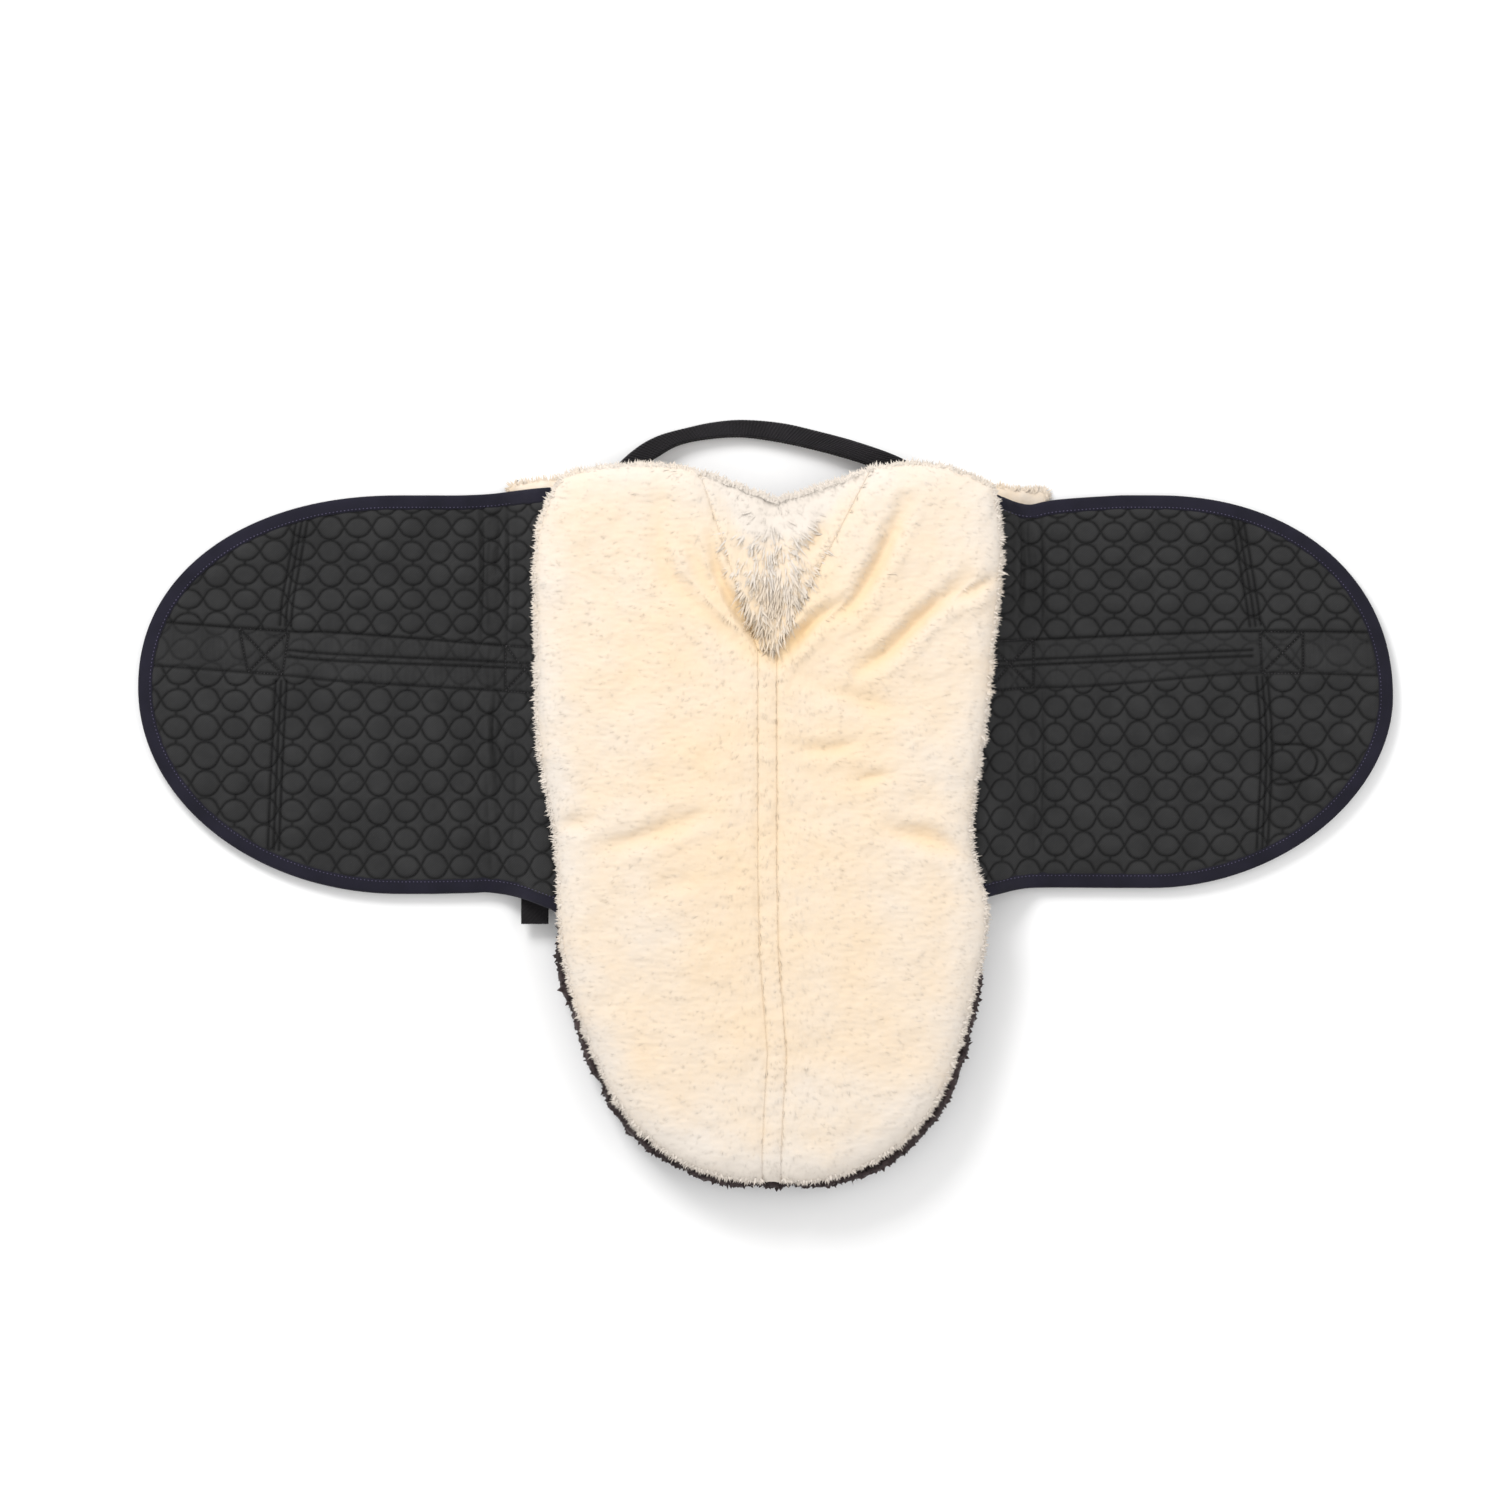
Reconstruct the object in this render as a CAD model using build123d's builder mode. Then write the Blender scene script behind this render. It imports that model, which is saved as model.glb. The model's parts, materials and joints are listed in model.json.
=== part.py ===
from build123d import *
import math
import os

# Sheepskin bareback riding pad, lying rider side down with its horse side up, in millimetres.
# +X is towards the right flap, +Y towards the front, where the grab handle is, and +Z towards the horse.
# Z = 0 is the plane it lies on, and X = Y = 0 is the middle of its outline, handle included.

os.makedirs("parts", exist_ok=True)

# Overall outline
HALF_SPAN = 565.0  # spine to flap tip
PAD_FRONT = 344.0  # foremost point of the handle
PAD_REAR = -344.0  # rearmost point of the seat skin

# Heights of the layers of the centre, from the rider side up
SEAT_PILE = 22.0  # rider-side sheepskin
FOAM_BOTTOM = 24.8
FOAM_EDGE_TOP = 38.0  # under the flaps' roots
FOAM_TOP = 46.0
SEAT_WEB_TOP = 48.3
LINING_BOTTOM = 48.6
LINING_TOP = 72.0
LINING_ROUND = 8.0  # rounding of the pile at its edge

# Layers of a flap, from the rider side up
FLAP_BOTTOM = 5.0
COTTON = 1.0
WADDING = 4.5
FLAP_TOP = FLAP_BOTTOM + COTTON + WADDING + 1.5
BINDING_WIDTH = 13.0
BINDING = 0.8

# The crease where each flap folds
FOLD_X = 245.0
CLEAR = 0.3  # gap between bodies
ROOT_INNER = 120.0  # where a flap's root ends under the lining
ROOT_SHOULDER = 188.0  # where the root starts to slope down to the fold

# Webbing, billets and holes
WEB = 40.0
WEB_THICK = 2.4
WEB_START = 196.0  # inner X-box, towards the seat
WEB_END = 474.0
BOX_START = 430.0  # outer X-box, towards the seat
BILLET_WIDTH = 18.0
BILLET_GAP = 3.0
BILLET_THICK = 2.2
BILLET_HINGE_X = 475.3
BILLET_END = 556.0
BILLET_HOLE_R = 2.0
BILLET_HOLES = 4
BILLET_PITCH = 16.0
TAPE = 20.0
TAPE_X = 434.0
PATCH_THICK = 1.2  # tapes and patches

# Handle
HANDLE_WIDTH = 16.0
HANDLE_THICK = 6.0
HANDLE_PIVOT_Y = 289.0
HANDLE_PIVOT_Z = 23.4
HANDLE_TILT = 18.0  # degrees that the handle slopes down to the floor
HANDLE_HALF = 140.0

# Each flap's own shape: the X of its rounded end's centre, the Y of its tip, its front and rear edges,
# how square the front and rear quarters of the end are (2 is an ellipse), the Y of the girth web where it
# crosses the fold and that of the billets, and how far back the rear loop reaches
FLAPS = {
    "left": dict(side=-1, end_x=329.0, tip_y=102.0, front=275.4, rear=-83.7, square=(2.15, 2.0),
                 web_y=120.0, billet_y=136.5, loop_y=-110.5),
    "right": dict(side=1, end_x=350.0, tip_y=93.0, front=275.5, rear=-78.3, square=(2.15, 1.9),
                  web_y=122.0, billet_y=133.0, loop_y=-76.0),
}
QUARTER_STEPS = 12  # points along each quarter of a rounded end


def quarter(flap, inset, front):
    """Points of a quarter of a flap's rounded end, from its straight edge to its tip."""
    reach = HALF_SPAN - flap["end_x"] - inset
    edge = flap["front"] if front else flap["rear"]
    depth = abs(edge - flap["tip_y"]) - inset
    power = 2 / flap["square"][0 if front else 1]
    found = []
    for step in range(QUARTER_STEPS + 1):
        angle = math.radians(90 - 90 * step / QUARTER_STEPS)
        x = flap["end_x"] + reach * max(math.cos(angle), 0) ** power
        y = flap["tip_y"] + (1 if front else -1) * depth * math.sin(angle) ** power
        found.append((flap["side"] * x, y))
    return found


def flap_shape(flap, inset=0.0, inboard=FOLD_X + CLEAR):
    """A flap's outline, a given distance inside its edge, as far in as the line X = inboard."""
    end = quarter(flap, inset, True) + quarter(flap, inset, False)[-2::-1]
    with BuildSketch() as shape:
        with BuildLine():
            Spline(*end)
            x = flap["side"] * inboard
            Polyline(end[-1], (x, flap["rear"] + inset), (x, flap["front"] - inset), end[0])
        make_face()
    return shape.sketch


# Outline of the lining, left of the spine and right of it, from the front corner to the rear
LEFT_SIDE = [(-182, 289), (-201, 246), (-204, 145), (-202, 55), (-186, -45), (-184, -95), (-175, -160),
             (-156, -218), (-120, -284), (-64, -326), (-7, -338)]
RIGHT_SIDE = [(202, 281), (209, 246), (203, 145), (192, 45), (185, -50), (195, -88), (187, -160),
              (172, -218), (140, -284), (84, -326), (10, -338)]
SEAM_LEFT, SEAM_RIGHT = -7.0, 10.0  # the spine strip's seams
HOLLOW_END = 135.0  # where the withers hollow meets the spine strip
NOTCH = (10, 268)
HOLLOW_LEFT, HOLLOW_RIGHT = (-59, 294.5), (94, 296)
# Outline of the seat skin, a little larger than the lining behind the flaps
SEAT_LEFT = [(-170, 276), (-174, 190), (-186, 60), (-182, -60), (-182, -140), (-164, -215), (-128, -284),
             (-70, -331)]
SEAT_RIGHT = [(176, 276), (178, 190), (186, 60), (184, -60), (192, -130), (179, -215), (149, -284), (92, -331)]


def side_shape(points, front, inner):
    """One half of a skin: its side as a spline, its front edge and its inner edge along the spine."""
    with BuildSketch() as shape:
        with BuildLine():
            Spline(*points)
            Spline(points[0], *front)
            Polyline(front[-1], *inner, points[-1])
        make_face()
    return shape.sketch


left_half = side_shape(LEFT_SIDE, [(-120, 300), HOLLOW_LEFT], [(SEAM_LEFT, HOLLOW_END)])
right_half = side_shape(RIGHT_SIDE, [(130, 301), HOLLOW_RIGHT], [(SEAM_RIGHT, HOLLOW_END)])


def save(part, name):
    """Labels a finished piece and writes its STEP file."""
    part.label = name
    export_step(part, f"parts/{name}.step")


# Rider-side sheepskin seat, in one piece over the whole centre
with BuildPart() as seat_skin:
    with BuildSketch():
        with BuildLine():
            Spline(*SEAT_LEFT, (8, PAD_REAR), *SEAT_RIGHT[::-1])
            Line(SEAT_RIGHT[0], SEAT_LEFT[0])
        make_face()
    extrude(amount=SEAT_PILE)
save(seat_skin.part, "seat_skin")

# Foam cores, one each side of the channel that keeps pressure off the horse's spine
SPINE_CHANNEL = 18.0
for name, flap in FLAPS.items():
    side = flap["side"]
    with BuildPart() as foam:
        with BuildSketch(Plane.XY.offset(FOAM_BOTTOM)):
            with BuildLine():
                Spline((side * 163, 258), (side * 172, 60), (side * 168, -120), (side * 128, -255), (side * 40, -322))
                Polyline((side * 40, -322), (side * SPINE_CHANNEL, -324), (side * SPINE_CHANNEL, 110),
                         (side * 62, 262), (side * 163, 258))
            make_face()
        extrude(amount=FOAM_EDGE_TOP - FOAM_BOTTOM)
        with BuildSketch(Plane.XY.offset(FOAM_EDGE_TOP)):
            with BuildLine():
                inner = side * (ROOT_INNER - 2)
                Polyline((side * SPINE_CHANNEL, -318), (side * 44, -314), (side * 92, -285), (inner, -250),
                         (inner, 254), (side * 64, 257), (side * SPINE_CHANNEL, 110), close=True)
            make_face()
        extrude(amount=FOAM_TOP - FOAM_EDGE_TOP - CLEAR)
    save(foam.part, f"seat_foam_{name}")

# Horse-side lambskin lining: two panels, the strip between them and the gusset of the withers hollow
for name, half in (("left", left_half), ("right", right_half)):
    with BuildPart() as skin:
        with BuildSketch(Plane.XY.offset(LINING_BOTTOM)):
            add(half)
        extrude(amount=LINING_TOP - LINING_BOTTOM)
        outside = skin.faces().sort_by(Axis.Z)[-1].edges().filter_by(GeomType.BSPLINE)
        chamfer(outside, LINING_ROUND)
    save(skin.part, f"lining_skin_{name}")

with BuildPart() as spine_strip:
    with BuildSketch(Plane.XY.offset(LINING_BOTTOM)):
        with BuildLine():
            Polyline((SEAM_LEFT, -338), (SEAM_LEFT, HOLLOW_END), (SEAM_RIGHT, HOLLOW_END), (SEAM_RIGHT, -338),
                     close=True)
        make_face()
    extrude(amount=LINING_TOP - LINING_BOTTOM - 1.5)
save(spine_strip.part, "spine_strip")

HOLLOW_DEPTH = 15.0  # how far the hollow sinks at the front edge
with BuildPart() as withers_gusset:
    with BuildSketch(Plane.XY.offset(LINING_BOTTOM)):
        with BuildLine():
            Polyline(HOLLOW_LEFT, (SEAM_LEFT, HOLLOW_END), (SEAM_RIGHT, HOLLOW_END), HOLLOW_RIGHT, NOTCH, close=True)
        make_face()
    extrude(amount=LINING_TOP - LINING_BOTTOM)
    with BuildSketch(Plane.YZ.offset(HOLLOW_LEFT[0] - 5)):
        with BuildLine():
            Polyline((HOLLOW_END, LINING_TOP), (HOLLOW_RIGHT[1] + 5, LINING_TOP),
                     (HOLLOW_RIGHT[1] + 5, LINING_TOP - HOLLOW_DEPTH), close=True)
        make_face()
    extrude(amount=HOLLOW_RIGHT[0] - HOLLOW_LEFT[0] + 10, mode=Mode.SUBTRACT)
save(withers_gusset.part, "withers_gusset")

# The web that carries the girth's pull across the seat, between the foam and the lining
with BuildPart() as seat_web:
    with BuildSketch(Plane.XY.offset(FOAM_TOP)):
        with Locations((0, 121)):
            Rectangle(2 * ROOT_SHOULDER - 8, WEB)
    extrude(amount=SEAT_WEB_TOP - FOAM_TOP)
save(seat_web.part, "seat_web")

# Roots of the flaps: quilted cotton held between foam and lining, sloping down to the fold
SLOPE_RUN = FOLD_X - ROOT_SHOULDER
FLAP_THICK = FLAP_TOP - FLAP_BOTTOM
for name, flap in FLAPS.items():
    side = flap["side"]
    with BuildPart() as root:
        with BuildSketch(Plane.XZ.offset(-flap["front"])):
            with BuildLine():
                Polyline((side * ROOT_INNER, FOAM_TOP - CLEAR), (side * ROOT_SHOULDER, FOAM_TOP - CLEAR),
                         (side * FOLD_X, FLAP_TOP), (side * FOLD_X, FLAP_BOTTOM),
                         (side * (ROOT_SHOULDER - 1.5), FOAM_EDGE_TOP + CLEAR),
                         (side * ROOT_INNER, FOAM_EDGE_TOP + CLEAR), close=True)
            make_face()
        extrude(amount=flap["front"] - flap["rear"] + 3)
    save(root.part, f"flap_root_{name}")

# The layers of each flap
for name, flap in FLAPS.items():
    side = flap["side"]
    with BuildPart() as outer_cotton:
        with BuildSketch(Plane.XY.offset(FLAP_BOTTOM)):
            add(flap_shape(flap, BINDING))
        extrude(amount=COTTON)
    save(outer_cotton.part, f"outer_cotton_{name}")

    with BuildPart() as wadding:
        with BuildSketch(Plane.XY.offset(FLAP_BOTTOM + COTTON)):
            add(flap_shape(flap, BINDING))
        extrude(amount=WADDING)
    save(wadding.part, f"wadding_{name}")

    with BuildPart() as quilted_face:
        with BuildSketch(Plane.XY.offset(FLAP_BOTTOM + COTTON + WADDING)):
            add(flap_shape(flap, BINDING))
        extrude(amount=FLAP_TOP - FLAP_BOTTOM - COTTON - WADDING)
    save(quilted_face.part, f"quilted_face_{name}")

    with BuildPart() as binding:
        with BuildSketch(Plane.XY.offset(FLAP_BOTTOM - BINDING)):
            add(flap_shape(flap))
        extrude(amount=FLAP_THICK + 2 * BINDING)
        with BuildSketch(Plane.XY.offset(FLAP_BOTTOM)):
            add(flap_shape(flap, BINDING, FOLD_X - 5))
        extrude(amount=FLAP_THICK, mode=Mode.SUBTRACT)
        with BuildSketch(Plane.XY.offset(FLAP_BOTTOM - BINDING)):
            add(flap_shape(flap, BINDING_WIDTH, FOLD_X - 5))
        extrude(amount=FLAP_THICK + 2 * BINDING, mode=Mode.SUBTRACT)
    save(binding.part, f"binding_{name}")

# Girth web, from its anchor on the seat's edge to the outer X-box, and the two billets that leave it
RISE = (FOAM_EDGE_TOP + CLEAR - FLAP_BOTTOM) / (FOLD_X - ROOT_SHOULDER + 1.5)  # slope of the roots' underside
for name, flap in FLAPS.items():
    side = flap["side"]
    with BuildPart() as girth_web:
        with BuildSketch(Plane.XY.offset(FLAP_BOTTOM - WEB_THICK)):
            with BuildLine():
                inner, outer = side * (FOLD_X + 1), side * WEB_END
                Polyline((inner, flap["web_y"] - WEB / 2), (outer, flap["billet_y"] - WEB / 2),
                         (outer, flap["billet_y"] + WEB / 2), (inner, flap["web_y"] + WEB / 2), close=True)
            make_face()
        extrude(amount=WEB_THICK)
    save(girth_web.part, f"girth_web_{name}")

    # the same web on the underside of the flap's root, up to the inner X-box
    with BuildPart() as anchor:
        with BuildSketch(Plane.XZ.offset(-(flap["web_y"] + WEB / 2))):
            with BuildLine():
                inner_z = FLAP_BOTTOM + RISE * (FOLD_X - WEB_START)
                outer_z = FLAP_BOTTOM + RISE * 1.5
                Polyline((side * WEB_START, inner_z), (side * (FOLD_X - 1.5), outer_z),
                         (side * (FOLD_X - 1.5), outer_z - WEB_THICK), (side * WEB_START, inner_z - WEB_THICK),
                         close=True)
            make_face()
        extrude(amount=WEB)
    save(anchor.part, f"girth_anchor_{name}")

    with BuildPart() as billet_patch:
        with BuildSketch(Plane.XY.offset(FLAP_BOTTOM - PATCH_THICK)):
            patch_end = BILLET_END - 16
            with Locations((side * (WEB_END + patch_end) / 2, flap["billet_y"])):
                Rectangle(patch_end - WEB_END, WEB + 4)
        extrude(amount=PATCH_THICK)
    save(billet_patch.part, f"billet_patch_{name}")

    # the billets' sewn ends, side by side on the web's outer X-box
    rows = [flap["billet_y"] + offset * (BILLET_WIDTH + BILLET_GAP) / 2 for offset in (1, -1)]
    with BuildPart() as billet_roots:
        with BuildSketch(Plane.XY.offset(CLEAR)):
            for row in rows:
                with Locations((side * (BOX_START + WEB_END) / 2, row)):
                    Rectangle(WEB_END - BOX_START, BILLET_WIDTH)
        extrude(amount=BILLET_THICK - CLEAR)
    save(billet_roots.part, f"billet_roots_{name}")

    # their free ends, with a row of holes for the girth's buckle
    for place, row in zip(("front", "rear"), rows):
        with BuildPart() as billet:
            with BuildSketch(Plane.XY) as tail:
                with Locations((side * (BILLET_HINGE_X + BILLET_END) / 2, row)):
                    Rectangle(BILLET_END - BILLET_HINGE_X, BILLET_WIDTH)
                fillet(tail.vertices().group_by(Axis.X)[-1 if side > 0 else 0], BILLET_WIDTH * 0.4)
            extrude(amount=BILLET_THICK)
            last = BILLET_END - 14
            with Locations(*[(side * (last - BILLET_PITCH * i), row, 0) for i in range(BILLET_HOLES)]):
                Hole(BILLET_HOLE_R)
        save(billet.part, f"billet_{place}_{name}")

    # tape across the flap, in two runs that stop at the girth web
    with BuildPart() as cross_tape:
        with BuildSketch(Plane.XY.offset(FLAP_BOTTOM - PATCH_THICK)):
            for y0, y1 in ((flap["billet_y"] + WEB / 2 + 1, 242.0), (-43.0, flap["web_y"] - WEB / 2 - 1)):
                with Locations((side * TAPE_X, (y0 + y1) / 2)):
                    Rectangle(TAPE, y1 - y0)
        extrude(amount=PATCH_THICK)
    save(cross_tape.part, f"cross_tape_{name}")

# Plain D-shaped patch on the right flap's rider side
with BuildPart() as label_patch:
    with BuildSketch(Plane.XY.offset(FLAP_BOTTOM - PATCH_THICK)):
        with Locations((468, 34)):
            Rectangle(22, 34)
        with Locations((479, 34)):
            Circle(17)
    extrude(amount=PATCH_THICK)
save(label_patch.part, "label_patch")

# Knee rolls: wool-covered rolls on the rider side, under the flaps' front corners
for name, flap in FLAPS.items():
    side = flap["side"]
    with BuildPart() as knee_roll:
        with BuildSketch(Plane.XZ.offset(-283)):
            with BuildLine():
                Polyline((side * 180, 0), (side * 232, 0), (side * 232, 9), (side * 194, 31), (side * 180, 33),
                         close=True)
            make_face()
        extrude(amount=95)
    save(knee_roll.part, f"knee_roll_{name}")

# Grab handle: webbing folded lengthwise, held by a tab of the same webbing at each end
handle_plane = Plane((0, HANDLE_PIVOT_Y, HANDLE_PIVOT_Z), x_dir=(1, 0, 0),
                     z_dir=Vector(0, 0, 1).rotate(Axis.X, -HANDLE_TILT))
reach = (PAD_FRONT - HANDLE_PIVOT_Y) / math.cos(math.radians(HANDLE_TILT)) - 0.9
with BuildPart() as handle:
    with BuildSketch(handle_plane.offset(-HANDLE_THICK / 2)):
        with BuildLine():
            Spline((-HANDLE_HALF, 0), (-112, reach * 0.52), (-20, reach), (75, reach * 0.68), (HANDLE_HALF, 0))
            Spline((-HANDLE_HALF + 26, 0), (-98, reach * 0.34), (-20, reach - HANDLE_WIDTH),
                   (70, reach * 0.68 - HANDLE_WIDTH), (HANDLE_HALF - 32, 0))
            Line((-HANDLE_HALF, 0), (-HANDLE_HALF + 26, 0))
            Line((HANDLE_HALF, 0), (HANDLE_HALF - 32, 0))
        make_face()
    extrude(amount=HANDLE_THICK)
save(handle.part, "handle")

for name, flap in FLAPS.items():
    side = flap["side"]
    with BuildPart() as handle_anchor:
        with BuildSketch(Plane.XY.offset(SEAT_PILE + CLEAR)):
            with Locations((side * 122, 257.5)):
                Rectangle(WEB, 56)
        extrude(amount=2.2)
    save(handle_anchor.part, f"handle_anchor_{name}")

# Sewn webbing loops at the flaps' rear inner corners
LOOP_Z = 14.0
LOOP_SEWN_Y = -50.0
for name, flap in FLAPS.items():
    side = flap["side"]
    with BuildPart() as rear_loop:
        with BuildSketch(Plane.XY.offset(LOOP_Z)):
            with Locations((side * 207.5, (flap["loop_y"] + LOOP_SEWN_Y) / 2)):
                Rectangle(25, LOOP_SEWN_Y - flap["loop_y"])
        extrude(amount=2 * WEB_THICK - 1)
    save(rear_loop.part, f"rear_loop_{name}")
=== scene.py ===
import json
import math

import bpy
import numpy as np
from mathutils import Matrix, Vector
from mathutils.kdtree import KDTree


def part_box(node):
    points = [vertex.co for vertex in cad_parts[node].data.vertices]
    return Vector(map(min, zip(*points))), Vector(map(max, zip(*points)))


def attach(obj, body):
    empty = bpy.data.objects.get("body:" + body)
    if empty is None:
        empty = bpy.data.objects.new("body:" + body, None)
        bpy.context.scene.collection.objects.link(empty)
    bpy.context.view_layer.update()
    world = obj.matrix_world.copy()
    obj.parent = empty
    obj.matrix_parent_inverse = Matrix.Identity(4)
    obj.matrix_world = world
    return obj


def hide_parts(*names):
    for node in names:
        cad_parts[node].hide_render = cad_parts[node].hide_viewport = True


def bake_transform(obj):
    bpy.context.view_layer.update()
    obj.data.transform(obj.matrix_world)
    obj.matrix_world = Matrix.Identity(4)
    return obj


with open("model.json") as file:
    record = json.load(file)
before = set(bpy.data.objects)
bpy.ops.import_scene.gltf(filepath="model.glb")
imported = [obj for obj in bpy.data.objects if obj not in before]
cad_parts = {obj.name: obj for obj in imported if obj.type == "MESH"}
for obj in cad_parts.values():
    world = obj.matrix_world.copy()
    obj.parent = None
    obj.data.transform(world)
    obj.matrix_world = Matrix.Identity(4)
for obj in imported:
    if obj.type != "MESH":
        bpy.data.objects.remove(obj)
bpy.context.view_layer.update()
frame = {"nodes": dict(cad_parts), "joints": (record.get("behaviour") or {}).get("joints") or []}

# A sheepskin bareback riding pad, lying rider side down. Everything below is worked out in millimetres in the
# CAD frame (+X right flap, +Y front, +Z up, towards the horse) and written to the meshes in metres. "Across"
# is the distance |X| from the spine, so that one description serves both flaps.

MM = 0.001
SIDES = {"left": -1, "right": 1}


def low(node):
    """A CAD node's lowest corner in millimetres."""
    return np.array(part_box(node)[0]) / MM


def high(node):
    """A CAD node's highest corner in millimetres."""
    return np.array(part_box(node)[1]) / MM


WOOL_TOP = high("lining_skin_left")[2]
LINING_BOTTOM = low("lining_skin_left")[2]
ROOT_TOP = high("flap_root_left")[2]
WEB_DROP = 7.7  # from the seat web's underside down to the flap root's
ROOT_BOTTOM = low("seat_web")[2] - WEB_DROP
FLAP_TOP = high("quilted_face_left")[2]
WADDING_BOTTOM = low("wadding_left")[2]
FLAP_BOTTOM = low("outer_cotton_left")[2]
FOLD = next(j["pos_m"][0] for j in frame["joints"] if j["name"] == "flap_fold_right") / MM
SHOULDER = 188.0  # where the flap's root starts to slope down to the fold
BINDING_WIDTH = 13.0
WEB_WIDTH = 40.0
FLAP_TIP = high("binding_right")[0]
TAPE_X = (low("cross_tape_right")[0] + high("cross_tape_right")[0]) / 2
FLOOR_GAP = 0.3  # nothing soft reaches lower


# ---------------------------------------------------------------------------------------------------------
# Noise, outlines and lines

def noise(x, y, size, seed):
    """Smooth noise from about -1 to 1 whose features are about the given size."""
    angles = np.random.default_rng(seed).random((128, 128)) * 2 * np.pi
    u, v = np.asarray(x, float) / size, np.asarray(y, float) / size
    ix, iy = np.floor(u).astype(int), np.floor(v).astype(int)
    fx, fy = u - ix, v - iy

    def corner(dx, dy):
        angle = angles[(ix + dx) % 128, (iy + dy) % 128]
        return np.cos(angle) * (fx - dx) + np.sin(angle) * (fy - dy)

    sx, sy = fx * fx * (3 - 2 * fx), fy * fy * (3 - 2 * fy)
    front = corner(0, 0) * (1 - sx) + corner(1, 0) * sx
    back = corner(0, 1) * (1 - sx) + corner(1, 1) * sx
    return 1.5 * (front * (1 - sy) + back * sy)


def ramp(value, start, end):
    """0 before start, 1 after end, and smooth between them."""
    t = np.clip((np.asarray(value, float) - start) / (end - start), 0, 1)
    return t * t * (3 - 2 * t)


def bell(value, middle, wide):
    """1 at the middle, falling to 0 a few widths away."""
    return np.exp(-((np.asarray(value, float) - middle) / wide) ** 2)


def resample(points, step, closed=False):
    """Points evenly spaced along a polyline, about step apart."""
    points = np.asarray(points, float)
    if closed:
        points = np.vstack([points, points[:1]])
    along = np.concatenate([[0], np.cumsum(np.linalg.norm(np.diff(points, axis=0), axis=1))])
    count = max(2, int(round(along[-1] / step)) + 1)
    at = np.linspace(0, along[-1], count)
    found = np.stack([np.interp(at, along, points[:, k]) for k in range(points.shape[1])], axis=1)
    return found[:-1] if closed else found


def curve(points, step=1.0):
    """A smooth line through a few given points, sampled about step apart."""
    p = np.asarray(points, float)
    p = np.vstack([2 * p[0] - p[1], p, 2 * p[-1] - p[-2]])
    t = np.linspace(0, 1, 24, endpoint=False)[:, None]
    runs = []
    for a, b, c, d in zip(p, p[1:], p[2:], p[3:]):
        runs.append(0.5 * (2 * b + (c - a) * t + (2 * a - 5 * b + 4 * c - d) * t ** 2
                           + (3 * b - a - 3 * c + d) * t ** 3))
    return resample(np.vstack(runs + [p[-2:-1]]), step)


def cad_outline(node):
    """The outline of a CAD node's lowest face, counter-clockwise."""
    mesh = frame["nodes"][node].data
    floor = min(v.co.z for v in mesh.vertices)
    place = [(round(v.co.x / MM, 2), round(v.co.y / MM, 2)) for v in mesh.vertices]
    flat = [abs(v.co.z - floor) < 1e-5 for v in mesh.vertices]
    after = {}
    for face in mesh.polygons:
        if all(flat[i] for i in face.vertices):
            ring = [place[i] for i in face.vertices]
            for a, b in zip(ring, ring[1:] + ring[:1]):
                after.setdefault(a, set()).add(b)
    edge = {a: [b for b in ends if a not in after.get(b, ())] for a, ends in after.items()}
    start = next(a for a, ends in edge.items() if ends)
    loop = [start]
    while edge[loop[-1]][0] != start:
        loop.append(edge[loop[-1]][0])
    loop = np.array(loop)
    x, y = loop.T
    area = np.sum(x * np.roll(y, -1) - y * np.roll(x, -1))
    return loop if area > 0 else loop[::-1]


class Near:
    """Distances to a set of flat points, and which of them is nearest."""

    def __init__(self, points):
        self.tree = KDTree(len(points))
        for i, (x, y) in enumerate(points):
            self.tree.insert((x, y, 0), i)
        self.tree.balance()

    def __call__(self, flat):
        found = [self.tree.find((x, y, 0)) for x, y in flat]
        return np.array([f[2] for f in found]), np.array([f[1] for f in found])


# ---------------------------------------------------------------------------------------------------------
# Meshes: points, and a list of arrays of faces that have the same number of corners

def mesh_piece(name, shape, material, body, slot, stands_for=(), **values):
    """A piece from points in millimetres and faces, with a float attribute for each of values. It rides on a
    body; given the pair of bodies that it crosses the fold between, it is left on neither of them."""
    points, groups = shape
    mesh = bpy.data.meshes.new(name)
    corners = np.concatenate([group.ravel() for group in groups]).astype(np.int32)
    sizes = np.concatenate([np.full(len(group), group.shape[1]) for group in groups])
    mesh.vertices.add(len(points))
    mesh.vertices.foreach_set("co", (points * MM).astype(np.float32).ravel())
    mesh.loops.add(len(corners))
    mesh.loops.foreach_set("vertex_index", corners)
    mesh.polygons.add(len(sizes))
    mesh.polygons.foreach_set("loop_start", np.concatenate([[0], np.cumsum(sizes)[:-1]]).astype(np.int32))
    mesh.polygons.foreach_set("use_smooth", np.ones(len(sizes), bool))
    mesh.update(calc_edges=True)
    mesh.materials.append(material)
    for key, value in values.items():
        attribute = mesh.attributes.new(key, "FLOAT", "POINT")
        attribute.data.foreach_set("value", np.asarray(value, np.float32))
    piece = bpy.data.objects.new(name, mesh)
    bpy.context.scene.collection.objects.link(piece)
    if isinstance(body, tuple):
        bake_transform(piece)
    else:
        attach(piece, body)
    if stands_for:
        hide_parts(*stands_for)
    return piece


def join(shapes):
    """One shape from several."""
    points, groups, base = [], [], 0
    for p, g in shapes:
        points.append(p)
        groups += [group + base for group in g]
        base += len(p)
    return np.vstack(points), groups


def upside_down(shape):
    """The same shape with its heights negated, still facing outward."""
    points, groups = shape
    return points * (1, 1, -1), [group[:, ::-1] for group in groups]


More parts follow.
